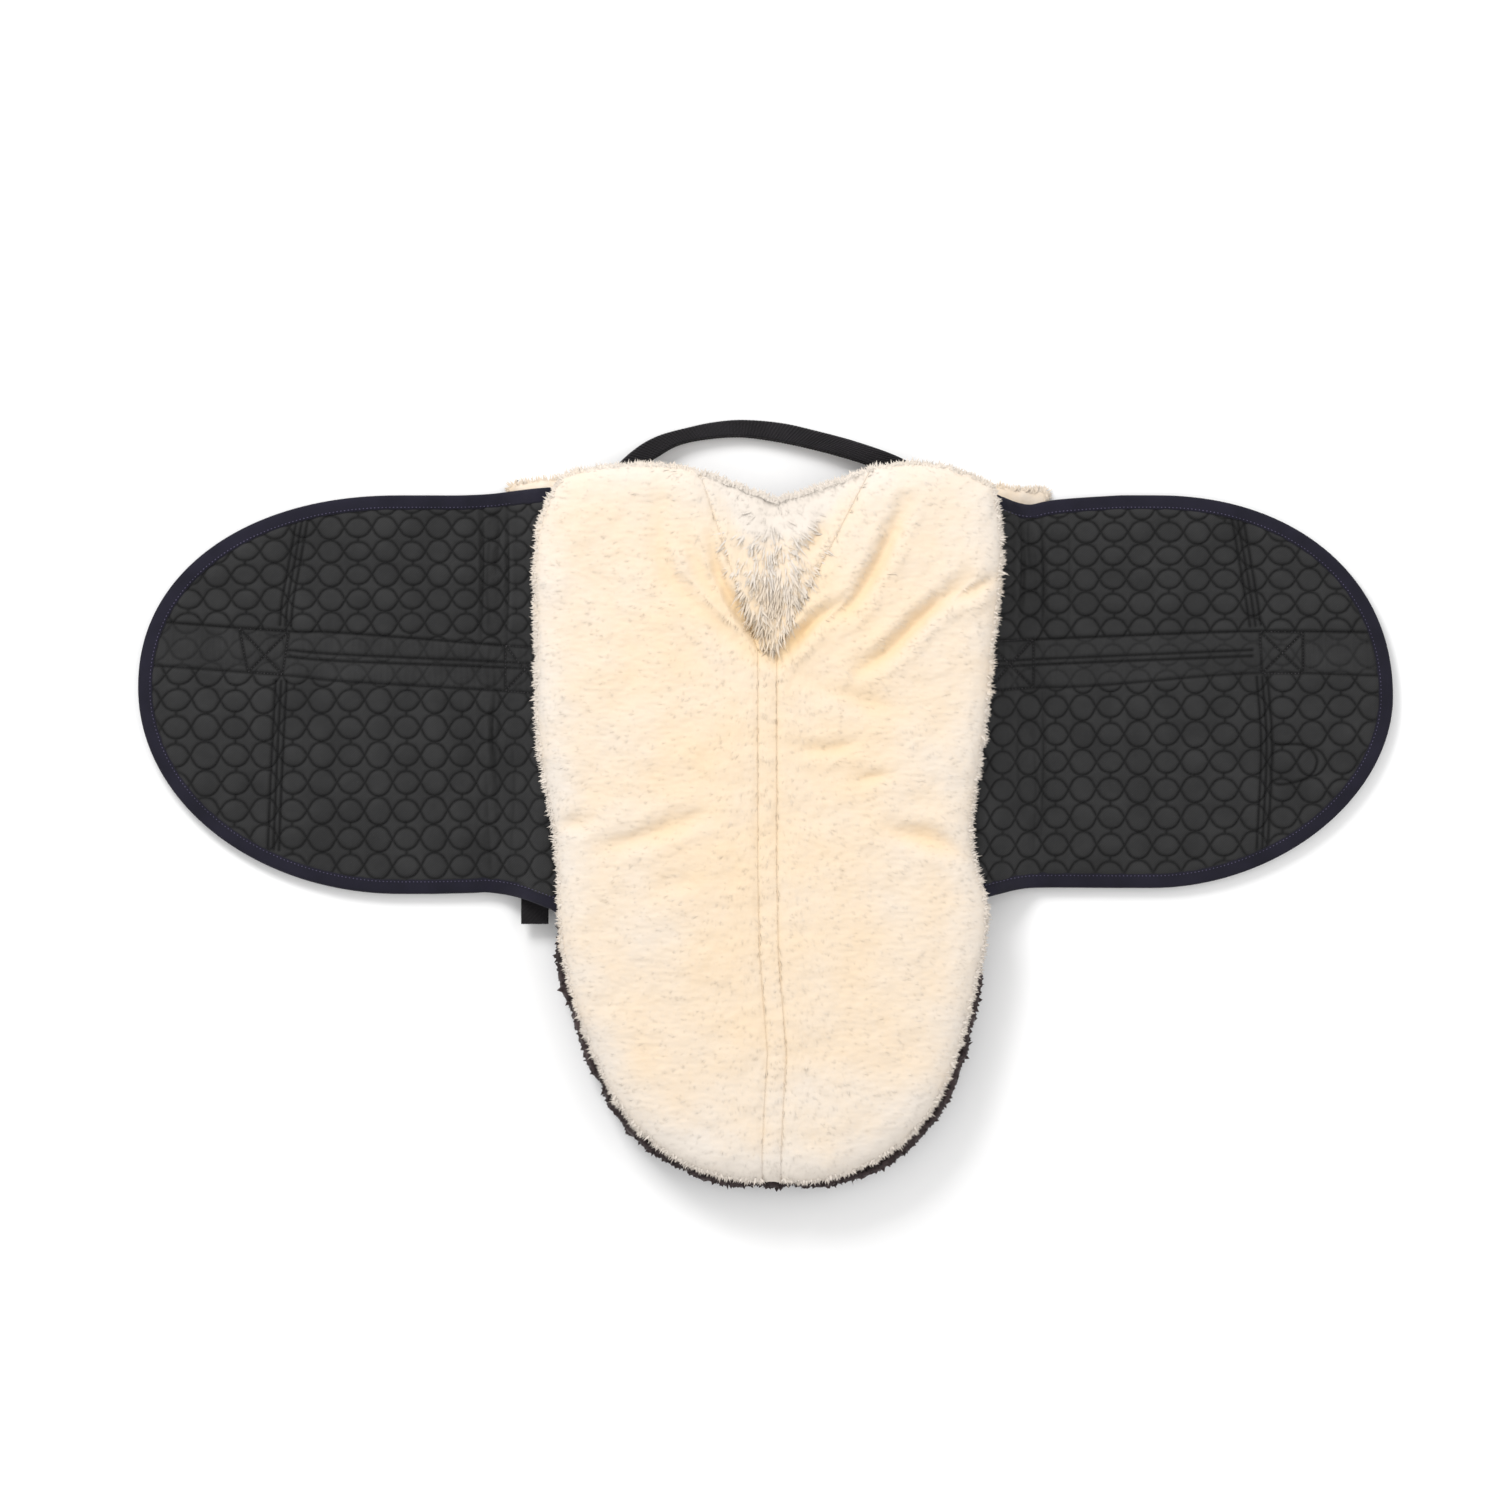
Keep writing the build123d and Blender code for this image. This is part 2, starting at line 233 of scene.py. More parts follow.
class Patch:
    """Squares filling a closed outline, with the outermost corners pulled onto it: flat points, squares, the
    loop of edge corners in order, and the outward direction at each of those."""

    def __init__(self, edge, step):
        edge = resample(edge, 0.5, closed=True)
        start, end = edge.min(0) - step * 0.37, edge.max(0) + step
        xs, ys = np.arange(start[0], end[0], step), np.arange(start[1], end[1], step)
        a, b = edge, np.roll(edge, -1, 0)
        inside = np.zeros((len(ys), len(xs)), bool)
        for row, y in enumerate(ys):
            crosses = (a[:, 1] > y) != (b[:, 1] > y)
            p, q = a[crosses], b[crosses]
            at = np.sort(p[:, 0] + (y - p[:, 1]) * (q[:, 0] - p[:, 0]) / (q[:, 1] - p[:, 1]))
            inside[row] = np.searchsorted(at, xs) % 2 == 1
        keep = inside[:-1, :-1] & inside[1:, :-1] & inside[:-1, 1:] & inside[1:, 1:]
        for _ in range(4):  # squares that meet at a corner alone would pinch the edge
            lone = keep[1:, 1:] & keep[:-1, :-1] & ~keep[1:, :-1] & ~keep[:-1, 1:]
            keep[1:, 1:][lone] = False
            lone = keep[1:, :-1] & keep[:-1, 1:] & ~keep[1:, 1:] & ~keep[:-1, :-1]
            keep[1:, :-1][lone] = False
        rows, columns = np.nonzero(keep)
        wide = len(xs)
        corner = rows * wide + columns
        squares = np.stack([corner, corner + 1, corner + wide + 1, corner + wide], axis=1)
        used, squares = np.unique(squares, return_inverse=True)
        self.squares = squares.reshape(-1, 4)
        self.flat = np.stack([xs[used % wide], ys[used // wide]], axis=1)
        starts, ends = self.squares.ravel(), np.roll(self.squares, -1, axis=1).ravel()
        forward = set(zip(starts.tolist(), ends.tolist()))
        following = {p: q for p, q in forward if (q, p) not in forward}
        loops = []
        while following:
            loop = [next(iter(following))]
            while loop[-1] in following:
                loop.append(following.pop(loop[-1]))
            loops.append(loop[:-1])
        self.loop = np.array(max(loops, key=len))
        _, nearest = Near(edge)(self.flat[self.loop])
        self.flat[self.loop] = edge[nearest]
        ahead = np.roll(edge, -6, 0) - np.roll(edge, 6, 0)
        outward = np.stack([ahead[:, 1], -ahead[:, 0]], axis=1)
        self.outward = (outward / np.linalg.norm(outward, axis=1)[:, None])[nearest]

    def closed(self, top, rings, across_base=False, **values):
        """A closed form: the patch at heights top, rings down its side, then a base. Each ring is (how far
        outward, its height), as numbers or one for each corner of the loop. The base is one face, or strips
        that run from the rear edge to the front edge, for a base whose height depends on X alone."""
        count = len(self.loop)
        points, groups = [np.column_stack([self.flat, top])], [self.squares]
        last, base = self.loop, len(self.flat)
        for out, height in rings:
            ring = self.flat[self.loop] + self.outward * np.broadcast_to(out, count)[:, None]
            points.append(np.column_stack([ring, np.broadcast_to(height, count)]))
            this = base + np.arange(count)
            groups.append(np.stack([last, this, np.roll(this, -1), np.roll(last, -1)], axis=1))
            last, base = this, base + count
        points = np.vstack(points)
        groups.append(strips(last, points[last, 0]) if across_base else last[::-1][None])
        extra = {key: np.concatenate([value] + [value[self.loop]] * len(rings))
                 for key, value in values.items()}
        return (points, groups), extra


def strips(loop, x):
    """Triangles filling a loop with strips across it, facing down."""
    loop, x = np.roll(loop, -np.argmin(x)), np.roll(x, -np.argmin(x))
    far = int(np.argmax(x))
    first, first_x = loop[:far + 1], x[:far + 1]
    second, second_x = np.append(loop[far:], loop[0])[::-1], np.append(x[far:], x[0])[::-1]
    triangles, i, j = [], 0, 0
    while i < len(first) - 1 or j < len(second) - 1:
        forward = j == len(second) - 1 or (i < len(first) - 1 and first_x[i + 1] <= second_x[j + 1])
        if forward:
            triangles.append((first[i + 1], first[i], second[j]))
            i += 1
        else:
            triangles.append((first[i], second[j], second[j + 1]))
            j += 1
    found = np.array(triangles)
    distinct = (found[:, 0] != found[:, 1]) & (found[:, 1] != found[:, 2]) & (found[:, 2] != found[:, 0])
    return found[distinct]


LOCK_RIDGE = 0.15  # a lock's height over its width
LOCK_RINGS = ((0.0, 0.9, 0.0), (0.55, 0.8, 0.35))  # a lock's two rings: how far along, width, share of the bend
LOCK_FACES = np.array([(2, 1, 0), (0, 1, 4), (0, 4, 3), (1, 2, 5), (1, 5, 4), (2, 0, 3), (2, 3, 5),
                       (3, 4, 6), (4, 5, 6), (5, 3, 6)])  # two rings of three corners, and the tip
LOCK_TONE = np.array([-0.03, -0.03, -0.03, 0.0, 0.0, 0.0, 0.03])  # darker roots, paler tips


def locks(roots, heading, length, width, bend, up):
    """Closed tapering locks of wool, low and ridged on the side that faces up, curving by bend."""
    heading = heading / np.linalg.norm(heading, axis=1)[:, None]
    side = np.cross(heading, up)
    side /= np.linalg.norm(side, axis=1)[:, None] + 1e-9
    ridge = np.cross(side, heading) * LOCK_RIDGE
    length, width = length[:, None], width[:, None]
    points = []
    for along, wide, bent in LOCK_RINGS:
        centre = roots + heading * length * along + bend * length * bent
        points += [centre + offset * width * wide for offset in (-side / 2, ridge, side / 2)]
    points.append(roots + heading * length + bend * length)
    points = np.stack(points, axis=1)
    points[..., 2] = np.maximum(points[..., 2], FLOOR_GAP)
    faces = (np.arange(len(roots))[:, None, None] * len(LOCK_TONE) + LOCK_FACES[None]).reshape(-1, 3)
    return points.reshape(-1, 3), [faces]


def facing_out(shape):
    """A closed shape with its faces turned outward."""
    points, groups = shape
    volume = 0.0
    for group in groups:
        for k in range(1, group.shape[1] - 1):
            a, b, c = points[group[:, 0]], points[group[:, k]], points[group[:, k + 1]]
            volume += np.einsum("ij,ij->i", a, np.cross(b, c)).sum()
    return shape if volume > 0 else (points, [group[:, ::-1] for group in groups])


def swept(path, up, section, side=None):
    """A closed section swept along a path of points: section(i) gives its (sideways, up) points at each.
    Sideways is to the right of the path, or one direction all the way."""
    path = np.asarray(path, float)
    ahead = np.gradient(path, axis=0)
    ahead /= np.linalg.norm(ahead, axis=1)[:, None]
    side = np.cross(ahead, up) if side is None else np.tile(np.array(side, float), (len(path), 1))
    side /= np.linalg.norm(side, axis=1)[:, None]
    raised = np.cross(side, ahead)
    rows = [path[i] + np.asarray(section(i))[:, :1] * side[i] + np.asarray(section(i))[:, 1:] * raised[i]
            for i in range(len(path))]
    return lofted(rows)


def lofted(rows):
    """A closed form through rows of points, with a cap at each end."""
    each, count = len(rows[0]), len(rows)
    i, k = np.meshgrid(np.arange(count - 1), np.arange(each), indexing="ij")
    following = (k + 1) % each
    this, after = i * each, (i + 1) * each
    quads = np.stack([this + k, this + following, after + following, after + k], axis=-1)
    caps = [np.arange(each)[::-1][None], ((count - 1) * each + np.arange(each))[None]]
    return np.vstack(rows), [quads.reshape(-1, 4)] + caps


BEAD_FACES = np.array([(0, 2, 1), (0, 3, 2), (0, 4, 3), (0, 1, 4), (5, 1, 2), (5, 2, 3), (5, 3, 4), (5, 4, 1)])


def stitches(lines, height, pitch=3.0, length=2.3, wide=0.6, below=False):
    """Thread beads along flat lines, half sunk in the surface that height(x, y) gives."""
    shapes = []
    for line in lines:
        line = resample(line, pitch)
        middle = (line[1:] + line[:-1]) / 2
        ahead = np.diff(line, axis=0)
        ahead /= np.linalg.norm(ahead, axis=1)[:, None] + 1e-9
        centre = np.column_stack([middle, height(middle[:, 0], middle[:, 1])])
        forward = np.column_stack([ahead, np.zeros(len(ahead))]) * length / 2
        sideways = np.column_stack([-ahead[:, 1], ahead[:, 0], np.zeros(len(ahead))]) * wide / 2
        upward = np.zeros_like(centre)
        upward[:, 2] = -wide * 0.6 if below else wide * 0.6
        points = np.stack([centre - forward - upward * 0.7, centre + sideways, centre + upward,
                           centre - sideways, centre - upward, centre + forward - upward * 0.7], axis=1)
        faces = (np.arange(len(points))[:, None, None] * 6 + BEAD_FACES[None]).reshape(-1, 3)
        shapes.append((points.reshape(-1, 3), [faces[:, ::-1] if below else faces]))
    return join(shapes)


# ---------------------------------------------------------------------------------------------------------
# Materials

class Finish:
    """A material on one Principled shader, with short calls for the nodes that feed it."""

    def __init__(self, name, roughness, sheen=0.0, sheen_roughness=0.5, gloss=0.5):
        self.material = bpy.data.materials.new(name)
        self.material.use_nodes = True
        self.tree = self.material.node_tree
        self.shader = self.tree.nodes["Principled BSDF"].inputs
        self.shader["Roughness"].default_value = roughness
        self.shader["Specular IOR Level"].default_value = gloss
        self.shader["Sheen Weight"].default_value = sheen
        self.shader["Sheen Roughness"].default_value = sheen_roughness
        self.place = self.tree.nodes.new("ShaderNodeTexCoord").outputs["Object"]

    def put(self, socket, value):
        if isinstance(value, bpy.types.NodeSocket):
            self.tree.links.new(value, socket)
        else:
            socket.default_value = value

    def scaled(self, scale, turn=0.0):
        mapping = self.tree.nodes.new("ShaderNodeMapping")
        mapping.inputs["Scale"].default_value = scale
        mapping.inputs["Rotation"].default_value = (0, 0, turn)
        self.put(mapping.inputs["Vector"], self.place)
        return mapping.outputs["Vector"]

    def noise(self, size, detail=3.0, stretch=(1, 1, 1)):
        node = self.tree.nodes.new("ShaderNodeTexNoise")
        self.put(node.inputs["Vector"], self.scaled([s / (size * MM) for s in stretch]))
        node.inputs["Scale"].default_value = 1.0
        node.inputs["Detail"].default_value = detail
        return node.outputs["Fac"]

    def bands(self, pitch, turn=0.0, direction="X"):
        """Smooth ridges a given distance apart."""
        node = self.tree.nodes.new("ShaderNodeTexWave")
        node.bands_direction = direction
        self.put(node.inputs["Vector"], self.scaled([1, 1, 1], turn))
        node.inputs["Scale"].default_value = math.pi / 10 / (pitch * MM)
        return node.outputs["Fac"]

    def math(self, operation, a, b):
        node = self.tree.nodes.new("ShaderNodeMath")
        node.operation = operation
        self.put(node.inputs[0], a)
        self.put(node.inputs[1], b)
        return node.outputs[0]

    def colours(self, value, *stops):
        """A colour ramp through (position, colour) stops."""
        node = self.tree.nodes.new("ShaderNodeValToRGB")
        self.put(node.inputs["Fac"], value)
        elements = node.color_ramp.elements
        while len(elements) < len(stops):
            elements.new(0.5)
        for element, (position, colour) in zip(elements, stops):
            element.position = position
            element.color = (*colour, 1.0)
        return node.outputs["Color"]

    def mix(self, factor, a, b):
        node = self.tree.nodes.new("ShaderNodeMix")
        node.data_type = "RGBA"
        self.put(node.inputs["Factor"], factor)
        for socket, value in ((node.inputs[6], a), (node.inputs[7], b)):
            self.put(socket, value if isinstance(value, bpy.types.NodeSocket) else (*value, 1.0))
        return node.outputs[2]

    def attribute(self, name):
        node = self.tree.nodes.new("ShaderNodeAttribute")
        node.attribute_name = name
        return node.outputs["Fac"]

    def bump(self, height, depth, strength=0.8):
        node = self.tree.nodes.new("ShaderNodeBump")
        node.inputs["Strength"].default_value = strength
        node.inputs["Distance"].default_value = depth * MM
        self.put(node.inputs["Height"], height)
        self.put(self.shader["Normal"], node.outputs["Normal"])

    def colour(self, value):
        self.put(self.shader["Base Color"], value)

    def rough(self, value, low_end, high_end):
        """Roughness that varies with a value from 0 to 1."""
        node = self.tree.nodes.new("ShaderNodeMapRange")
        self.put(node.inputs["Value"], value)
        node.inputs["To Min"].default_value = low_end
        node.inputs["To Max"].default_value = high_end
        self.put(self.shader["Roughness"], node.outputs["Result"])


CLOTH_GLOSS = 0.15  # the specular level of wool and woven cloth


def wool_finish(name, deep, middle, pale, sheen):
    """Sheepskin: its colour follows the shade attribute, which holds painted shade in folds and hollows, with
    clumps and single hairs on top.
    """
    finish = Finish(name, 0.95, sheen=sheen, sheen_roughness=0.35, gloss=CLOTH_GLOSS)
    patches = finish.math("MULTIPLY", finish.math("SUBTRACT", finish.noise(70, 2), 0.5), 0.6)
    clumps = finish.math("MULTIPLY", finish.math("SUBTRACT", finish.noise(5, 4), 0.5), 0.2)
    tone = finish.math("ADD", finish.attribute("shade"), finish.math("ADD", patches, clumps))
    finish.colour(finish.colours(tone, (0.0, deep), (0.5, middle), (1.0, pale)))
    hairs = finish.math("ADD", finish.noise(0.9, 4), finish.noise(2.6, 3))
    finish.bump(hairs, 0.7, 0.35)
    return finish.material


def woven_finish(name, dark, light, pitch, twill, sheen=0.1, roughness=0.85, paints_groove_shade=False):
    """Woven cloth: threads at a pitch, along a twill's slant or square, with faded patches and lint. With its
    flag set, the grooves that an attribute marks get painted shade."""
    finish = Finish(name, roughness, sheen=sheen, gloss=CLOTH_GLOSS)
    warp = finish.bands(pitch, math.pi / 4 if twill else 0.0)
    weft = finish.bands(pitch * (1.0 if not twill else 2.3), -math.pi / 4 if twill else 0.0, "Y")
    weave = finish.math("MULTIPLY", warp, weft)
    fade = finish.math("ADD", finish.math("MULTIPLY", weave, 0.35), finish.noise(24, 4))
    lint = finish.math("GREATER_THAN", finish.noise(1.6, 1, (1, 3, 1)), 0.76)
    base = finish.colours(fade, (0.35, dark), (0.95, light))
    base = finish.mix(finish.math("MULTIPLY", lint, 0.25), base, tuple(3 * c for c in light))
    if paints_groove_shade:
        # Painted shade: the grooves are mixed towards a quarter of the dark tone.
        base = finish.mix(finish.attribute("groove"), base, tuple(0.25 * c for c in dark))
    finish.colour(base)
    finish.bump(finish.math("ADD", weave, finish.math("MULTIPLY", finish.noise(3, 3), 0.4)), pitch * 0.3, 0.6)
    finish.rough(finish.noise(12, 3), roughness - 0.1, roughness + 0.08)
    return finish.material


def leather_finish():
    """Dark billet leather with a fine grain, and darker and paler patches of wear at random."""
    finish = Finish("billet_leather", 0.5)
    finish.shader["Coat Weight"].default_value = 0.15
    finish.shader["Coat Roughness"].default_value = 0.35
    node = finish.tree.nodes.new("ShaderNodeTexVoronoi")
    finish.put(node.inputs["Vector"], finish.scaled([1000 / 1.1] * 3))
    grain = node.outputs["Distance"]
    wear = finish.noise(15, 5)
    finish.colour(finish.colours(wear, (0.3, (0.010, 0.007, 0.006)), (0.75, (0.035, 0.024, 0.019))))
    finish.bump(finish.math("ADD", grain, finish.noise(6, 3)), 0.25, 0.5)
    finish.rough(finish.noise(9, 4), 0.42, 0.62)
    return finish.material


def foam_finish():
    """Pale open-cell foam, darker in the pits of its cells: painted shade."""
    finish = Finish("seat_foam", 0.95)
    node = finish.tree.nodes.new("ShaderNodeTexVoronoi")
    finish.put(node.inputs["Vector"], finish.scaled([1000 / 2.0] * 3))
    cells = node.outputs["Distance"]
    # Painted shade: darker where the cells dip, as the bump below makes them.
    finish.colour(finish.colours(cells, (0.0, (0.42, 0.37, 0.25)), (0.6, (0.66, 0.60, 0.44))))
    finish.bump(cells, 0.8)
    return finish.material


# The deep ochre is reached mostly in the folds and the withers hollow, where it is painted shade.
CREAM = wool_finish("cream_wool", (0.79, 0.585, 0.35), (0.775, 0.625, 0.46), (0.725, 0.655, 0.58), 0.06)
BROWN = wool_finish("brown_wool", (0.014, 0.010, 0.010), (0.046, 0.032, 0.032), (0.11, 0.082, 0.08), 0.25)
# The quilting's grooves get painted shade from their attribute.
COTTON = woven_finish("quilted_cotton", (0.019, 0.019, 0.0195), (0.034, 0.034, 0.0345), 0.7, True, paints_groove_shade=True)
TWILL = woven_finish("cotton_twill", (0.016, 0.016, 0.017), (0.030, 0.030, 0.032), 0.9, True)
TAPE = woven_finish("binding_tape", (0.008, 0.0075, 0.014), (0.016, 0.0145, 0.027), 0.8, False, 0.08)
WEBBING = woven_finish("webbing", (0.007, 0.006, 0.007), (0.019, 0.017, 0.020), 1.3, True, 0.08, 0.7)
LABEL = woven_finish("label_cloth", (0.030, 0.029, 0.033), (0.058, 0.056, 0.062), 0.6, False)
THREAD = woven_finish("sewing_thread", (0.007, 0.007, 0.008), (0.016, 0.015, 0.018), 0.5, False, 0.05, 0.6)
BINDING_THREAD = woven_finish("binding_thread", (0.05, 0.044, 0.085), (0.12, 0.105, 0.19), 0.5, False,
                              roughness=0.6)
PALE_THREAD = woven_finish("pale_thread", (0.035, 0.033, 0.036), (0.12, 0.11, 0.12), 0.5, False, roughness=0.6)
BATTING = woven_finish("wadding", (0.62, 0.62, 0.60), (0.82, 0.82, 0.80), 2.2, True)
LEATHER = leather_finish()
FOAM = foam_finish()


# ---------------------------------------------------------------------------------------------------------
# The lambskin lining

SEAM_LEFT, SEAM_RIGHT = low("spine_strip")[0], high("spine_strip")[0]
HOLLOW_END = high("spine_strip")[1]
HOLLOW_LEFT, HOLLOW_RIGHT = (low("withers_gusset")[0], 294.5), (high("withers_gusset")[0], 296.0)
PILE = 1.5  # how far the locks stand over the fleece
CROWN = WOOL_TOP + 1.0
EDGE_ROLL = 26.0  # how far in the fleece starts to round over its outer edge
SIDE_TOP = 57.0  # height at which the rounding ends at the outline

# Folds in the fleece: points along it, depth, width
FOLDS = [
    ([(-49, 235), (-43, 206), (-26, 172), (-9, 148), (3, 128)], 7.0, 6.0),
    ([(66, 177), (46, 163), (26, 143), (9, 124)], 7.0, 6.0),
    ([(50, 252), (45, 235), (31, 223)], 5.0, 6.0),
    ([(124, 266), (103, 218), (78, 177), (54, 160)], 6.5, 7.0),
    ([(180, 200), (138, 163), (109, 134), (83, 117)], 7.5, 7.0),
    ([(-98, 260), (-86, 203), (-43, 160), (-9, 131)], 3.5, 9.0),
    ([(-71, 235), (-53, 196), (-32, 166)], 4.0, 7.0),
    ([(-149, -41), (-113, -32), (-50, -8)], 4.5, 8.0),
    ([(-185, -23), (-158, -17)], 3.5, 7.0),
    ([(109, -26), (142, -32), (175, -47)], 5.5, 8.0),
    ([(79, 19), (112, 25)], 3.0, 6.0),
    ([(25, 49), (52, 46), (79, 52)], 2.5, 6.0),
    ([(204, 199), (188, 190), (170, 180)], 5.0, 6.0),
    ([(-160, 215), (-128, 150), (-112, 96)], 2.0, 12.0),
    ([(120, 80), (60, 100), (30, 112)], 2.5, 9.0),
    ([(-120, -90), (-70, -70), (-30, -66)], 1.8, 10.0),
]
SEAM_REAR = -334.0  # the seams stop just inside the lining's outer edge
SEAM_LINES = [
    [(SEAM_LEFT, SEAM_REAR), (SEAM_LEFT, HOLLOW_END), (HOLLOW_LEFT[0] + 1.3, HOLLOW_LEFT[1] - 4)],
    [(SEAM_RIGHT, SEAM_REAR), (SEAM_RIGHT, HOLLOW_END), (HOLLOW_RIGHT[0] - 2.1, HOLLOW_RIGHT[1] - 4)],
    [(SEAM_LEFT, HOLLOW_END), (SEAM_RIGHT, HOLLOW_END)],
]


def fold_depth(flat):
    """How deep the folds are at each point, with the shoulders beside them standing proud."""
    depth, proud = np.zeros(len(flat)), np.zeros(len(flat))
    for points, deep, wide in FOLDS:
        line = curve(points)
        reach = 4 * wide
        near = np.all((flat > line.min(0) - reach) & (flat < line.max(0) + reach), axis=1)
        if not near.any():
            continue
        distance, at = Near(line)(flat[near])
        fading = deep * np.sin(np.pi * (0.1 + 0.8 * at / len(line)))
        wavering = wide * (1 + 0.3 * noise(*flat[near].T, 17, 40))
        depth[near] = np.maximum(depth[near], fading * np.exp(-(distance / wavering) ** 2))
        proud[near] += 0.3 * fading * bell(distance, 2.1 * wide, wide)
    return depth, proud


def inside_hollow(flat):
    """Signed distance inside the V of the withers hollow."""
    apex = np.array([(SEAM_LEFT + SEAM_RIGHT) / 2 + 3, HOLLOW_END - 10])
    found = []
    for corner, sign in ((HOLLOW_LEFT, 1), (HOLLOW_RIGHT, -1)):
        along = np.array(corner) - apex
        inward = np.array([along[1], -along[0]]) * sign / np.linalg.norm(along)
        found.append((flat - apex) @ inward)
    return np.minimum(*found)


def drift(points):
    """The seams wander to the right behind the waist."""
    shift = np.interp(points[:, 1], [-338, -317, -275, -225, -173, -137, -60], [4, 4, 5.8, 9, 4.6, 1.7, 0])
    moved = points.copy()
    moved[:, 0] += shift * bell(points[:, 0], 1.5, 45)
    return moved


def ragged(edge, amount, seed, held=None, size=13):
    """An outline whose wool stands out unevenly, except where held is 1."""
    edge = resample(edge, 0.5, closed=True)
    ahead = np.roll(edge, -5, 0) - np.roll(edge, 5, 0)
    outward = np.stack([ahead[:, 1], -ahead[:, 0]], axis=1)
    outward /= np.linalg.norm(outward, axis=1)[:, None]
    push = amount * (noise(*edge.T, size, seed) + 0.7 * noise(*edge.T, size * 0.4, seed + 1))
    if held is not None:
        push *= 1 - held(edge)
    return edge + outward * push[:, None]


SEAM = Near(np.vstack([resample(line, 1.0) for line in SEAM_LINES]))


def at_seam(flat):
    """1 on the lining's inner seams, 0 on its outer edge."""
    return 1 - ramp(SEAM(flat)[0], 0.8, 3.0)


def rim_height(x, y):
    """How low the lining's edge hangs: on the flap's root, over the handle's ends, or to the seat skin."""
    across = np.abs(x)
    on_root = ramp(across, 112, 122) * ramp(y, -96, -86)
    over_handle = ramp(y, 255, 275) * ramp(across, 84, 100)
    free = 34.0 + 10.0 * over_handle
    return free * (1 - on_root) + (slope_top(across) + 0.4) * on_root


def slope_top(across):
    """Height of the quilting before it is quilted, level on the flap and up the root to the foam."""
    return FLAP_TOP + (ROOT_TOP - FLAP_TOP) * ramp(FOLD - across, 0, FOLD - SHOULDER)


def slope_bottom(across):
    """Height of the flap's rider side, and of the root's."""
    return FLAP_BOTTOM + (ROOT_BOTTOM - FLAP_BOTTOM) * ramp(FOLD - across, 0, FOLD - SHOULDER + 1.5)


def fleece_top(flat, outer):
    """Height and shade of the fleece at flat points, given their distances to its outer edge. The shade holds
    painted shade in the folds and the withers hollow.
    """
    x, y = flat.T
    depth, proud = fold_depth(flat)
    inside = inside_hollow(flat)
    seam, _ = SEAM(flat)
    crown = CROWN - PILE + 2.2 * noise(x, y, 170, 1) + 1.6 * noise(x, y, 62, 2)
    clumps = 1.2 * noise(x, y, 26, 3) + 0.6 * noise(x, y, 11, 4) + 0.3 * noise(x * 0.5, y, 4.0, 5)
    hollow = (2 + 9 * ramp(y, 175, 285)) * ramp(inside, -16, 18)
    valley = 2.5 * bell(x, 8 - 0.05 * (y - 200), 11) * ramp(y, 130, 190)
    spine = 1.4 * bell(seam, 0, 4.0) + 1.5 * bell(x, 1.5, 22) * ramp(y, 60, -60)
    sideways = ramp(np.abs(x), 20, 90)  # fine tufts, longer the way that the pile lies
    tufts = 0.3 * noise(x * 0.35, y, 3.0, 8) * sideways + 0.3 * noise(x, y * 0.35, 3.0, 9) * (1 - sideways)
    z = crown + clumps + tufts + proud - depth - hollow - valley * ramp(inside, 0, 20) - spine
    rounded = np.sqrt(1 - (1 - np.clip(outer / EDGE_ROLL, 0, 1)) ** 2)
    side = np.minimum(SIDE_TOP, z - 3)
    z = side + (z - side) * rounded
    # Painted shade: ochre towards the middle of the withers hollow; the fleece's inner part is a warmer tone.
    hollow_shade_and_warm_tone = 0.2 * bell(np.hypot(x - 8, (y - 165) * 0.8), 0, 40) + 0.14 * ramp(outer, 60, 130)
    pale = (0.25 * (1 - ramp(outer, 0, 42)) + 0.15 * ramp(y, -200, -320)
            + 0.35 * ramp(inside, 5, 30) * ramp(y, 215, 250))
    # Painted shade: darker and more ochre down in the folds, by their depth.
    shade = 0.66 + 0.05 * noise(x, y, 33, 6) - 0.06 * depth - hollow_shade_and_warm_tone + pale - 0.1 * bell(seam, 0, 2)
    return z, shade


FLEECE_STEP = 1.2  # the size of the fleeces' squares
PANEL_STEP = 1.16
FRINGE_LENGTH, FRINGE_WIDTH = 5.0, 1.7


def fleece_piece(name, node, step, seed):
    """One part of the lining: a crowned, folded fleece that rounds over its outer edge and hangs to the rim.
    Returns its mesh piece, its patch and the patch's shade."""
    edge = cad_outline(node)
    patch = Patch(ragged(edge, 1.7, seed, at_seam), step)
    fine = resample(edge, 1.0, closed=True)
    outer, _ = Near(fine[at_seam(fine) < 0.5])(patch.flat)
    top, shade = fleece_top(patch.flat, outer)
    x, y = patch.flat[patch.loop].T
    free = 1 - at_seam(patch.flat[patch.loop])
    edge_top = top[patch.loop]
    rim = rim_height(x, y) * free + LINING_BOTTOM * (1 - free)
    rings = [(free * 1.3, edge_top * 0.8 + rim * 0.2), (free * 1.8, edge_top * 0.5 + rim * 0.5),
             (free * 1.0, edge_top * 0.2 + rim * 0.8), (free * -1.0, rim + 0.5), (free * -4.0, rim),
             (free * -9.0, rim + 1.0), (free * -12.0, np.maximum(rim + 2, LINING_BOTTOM))]
    if node == "withers_gusset":
        rings = [(np.maximum(out, 0), height) for out, height in rings[:4]] + [(free * 0.5, LINING_BOTTOM)]
    shape, extra = patch.closed(top, rings, across_base=node == "withers_gusset", shade=shade)
    shape = (drift(shape[0]), shape[1])
    piece = mesh_piece(name, shape, CREAM, "seat", "cream_wool", (node,), **extra)
    return piece, patch, shade


def surface(piece, count):
    """The first points of a piece's mesh and the mesh's normals there, in millimetres."""
    mesh = piece.data
    points, normals = np.empty(len(mesh.vertices) * 3), np.empty(len(mesh.vertices) * 3)
    mesh.vertices.foreach_get("co", points)
    mesh.vertices.foreach_get("normal", normals)
    return points.reshape(-1, 3)[:count] / MM, normals.reshape(-1, 3)[:count]


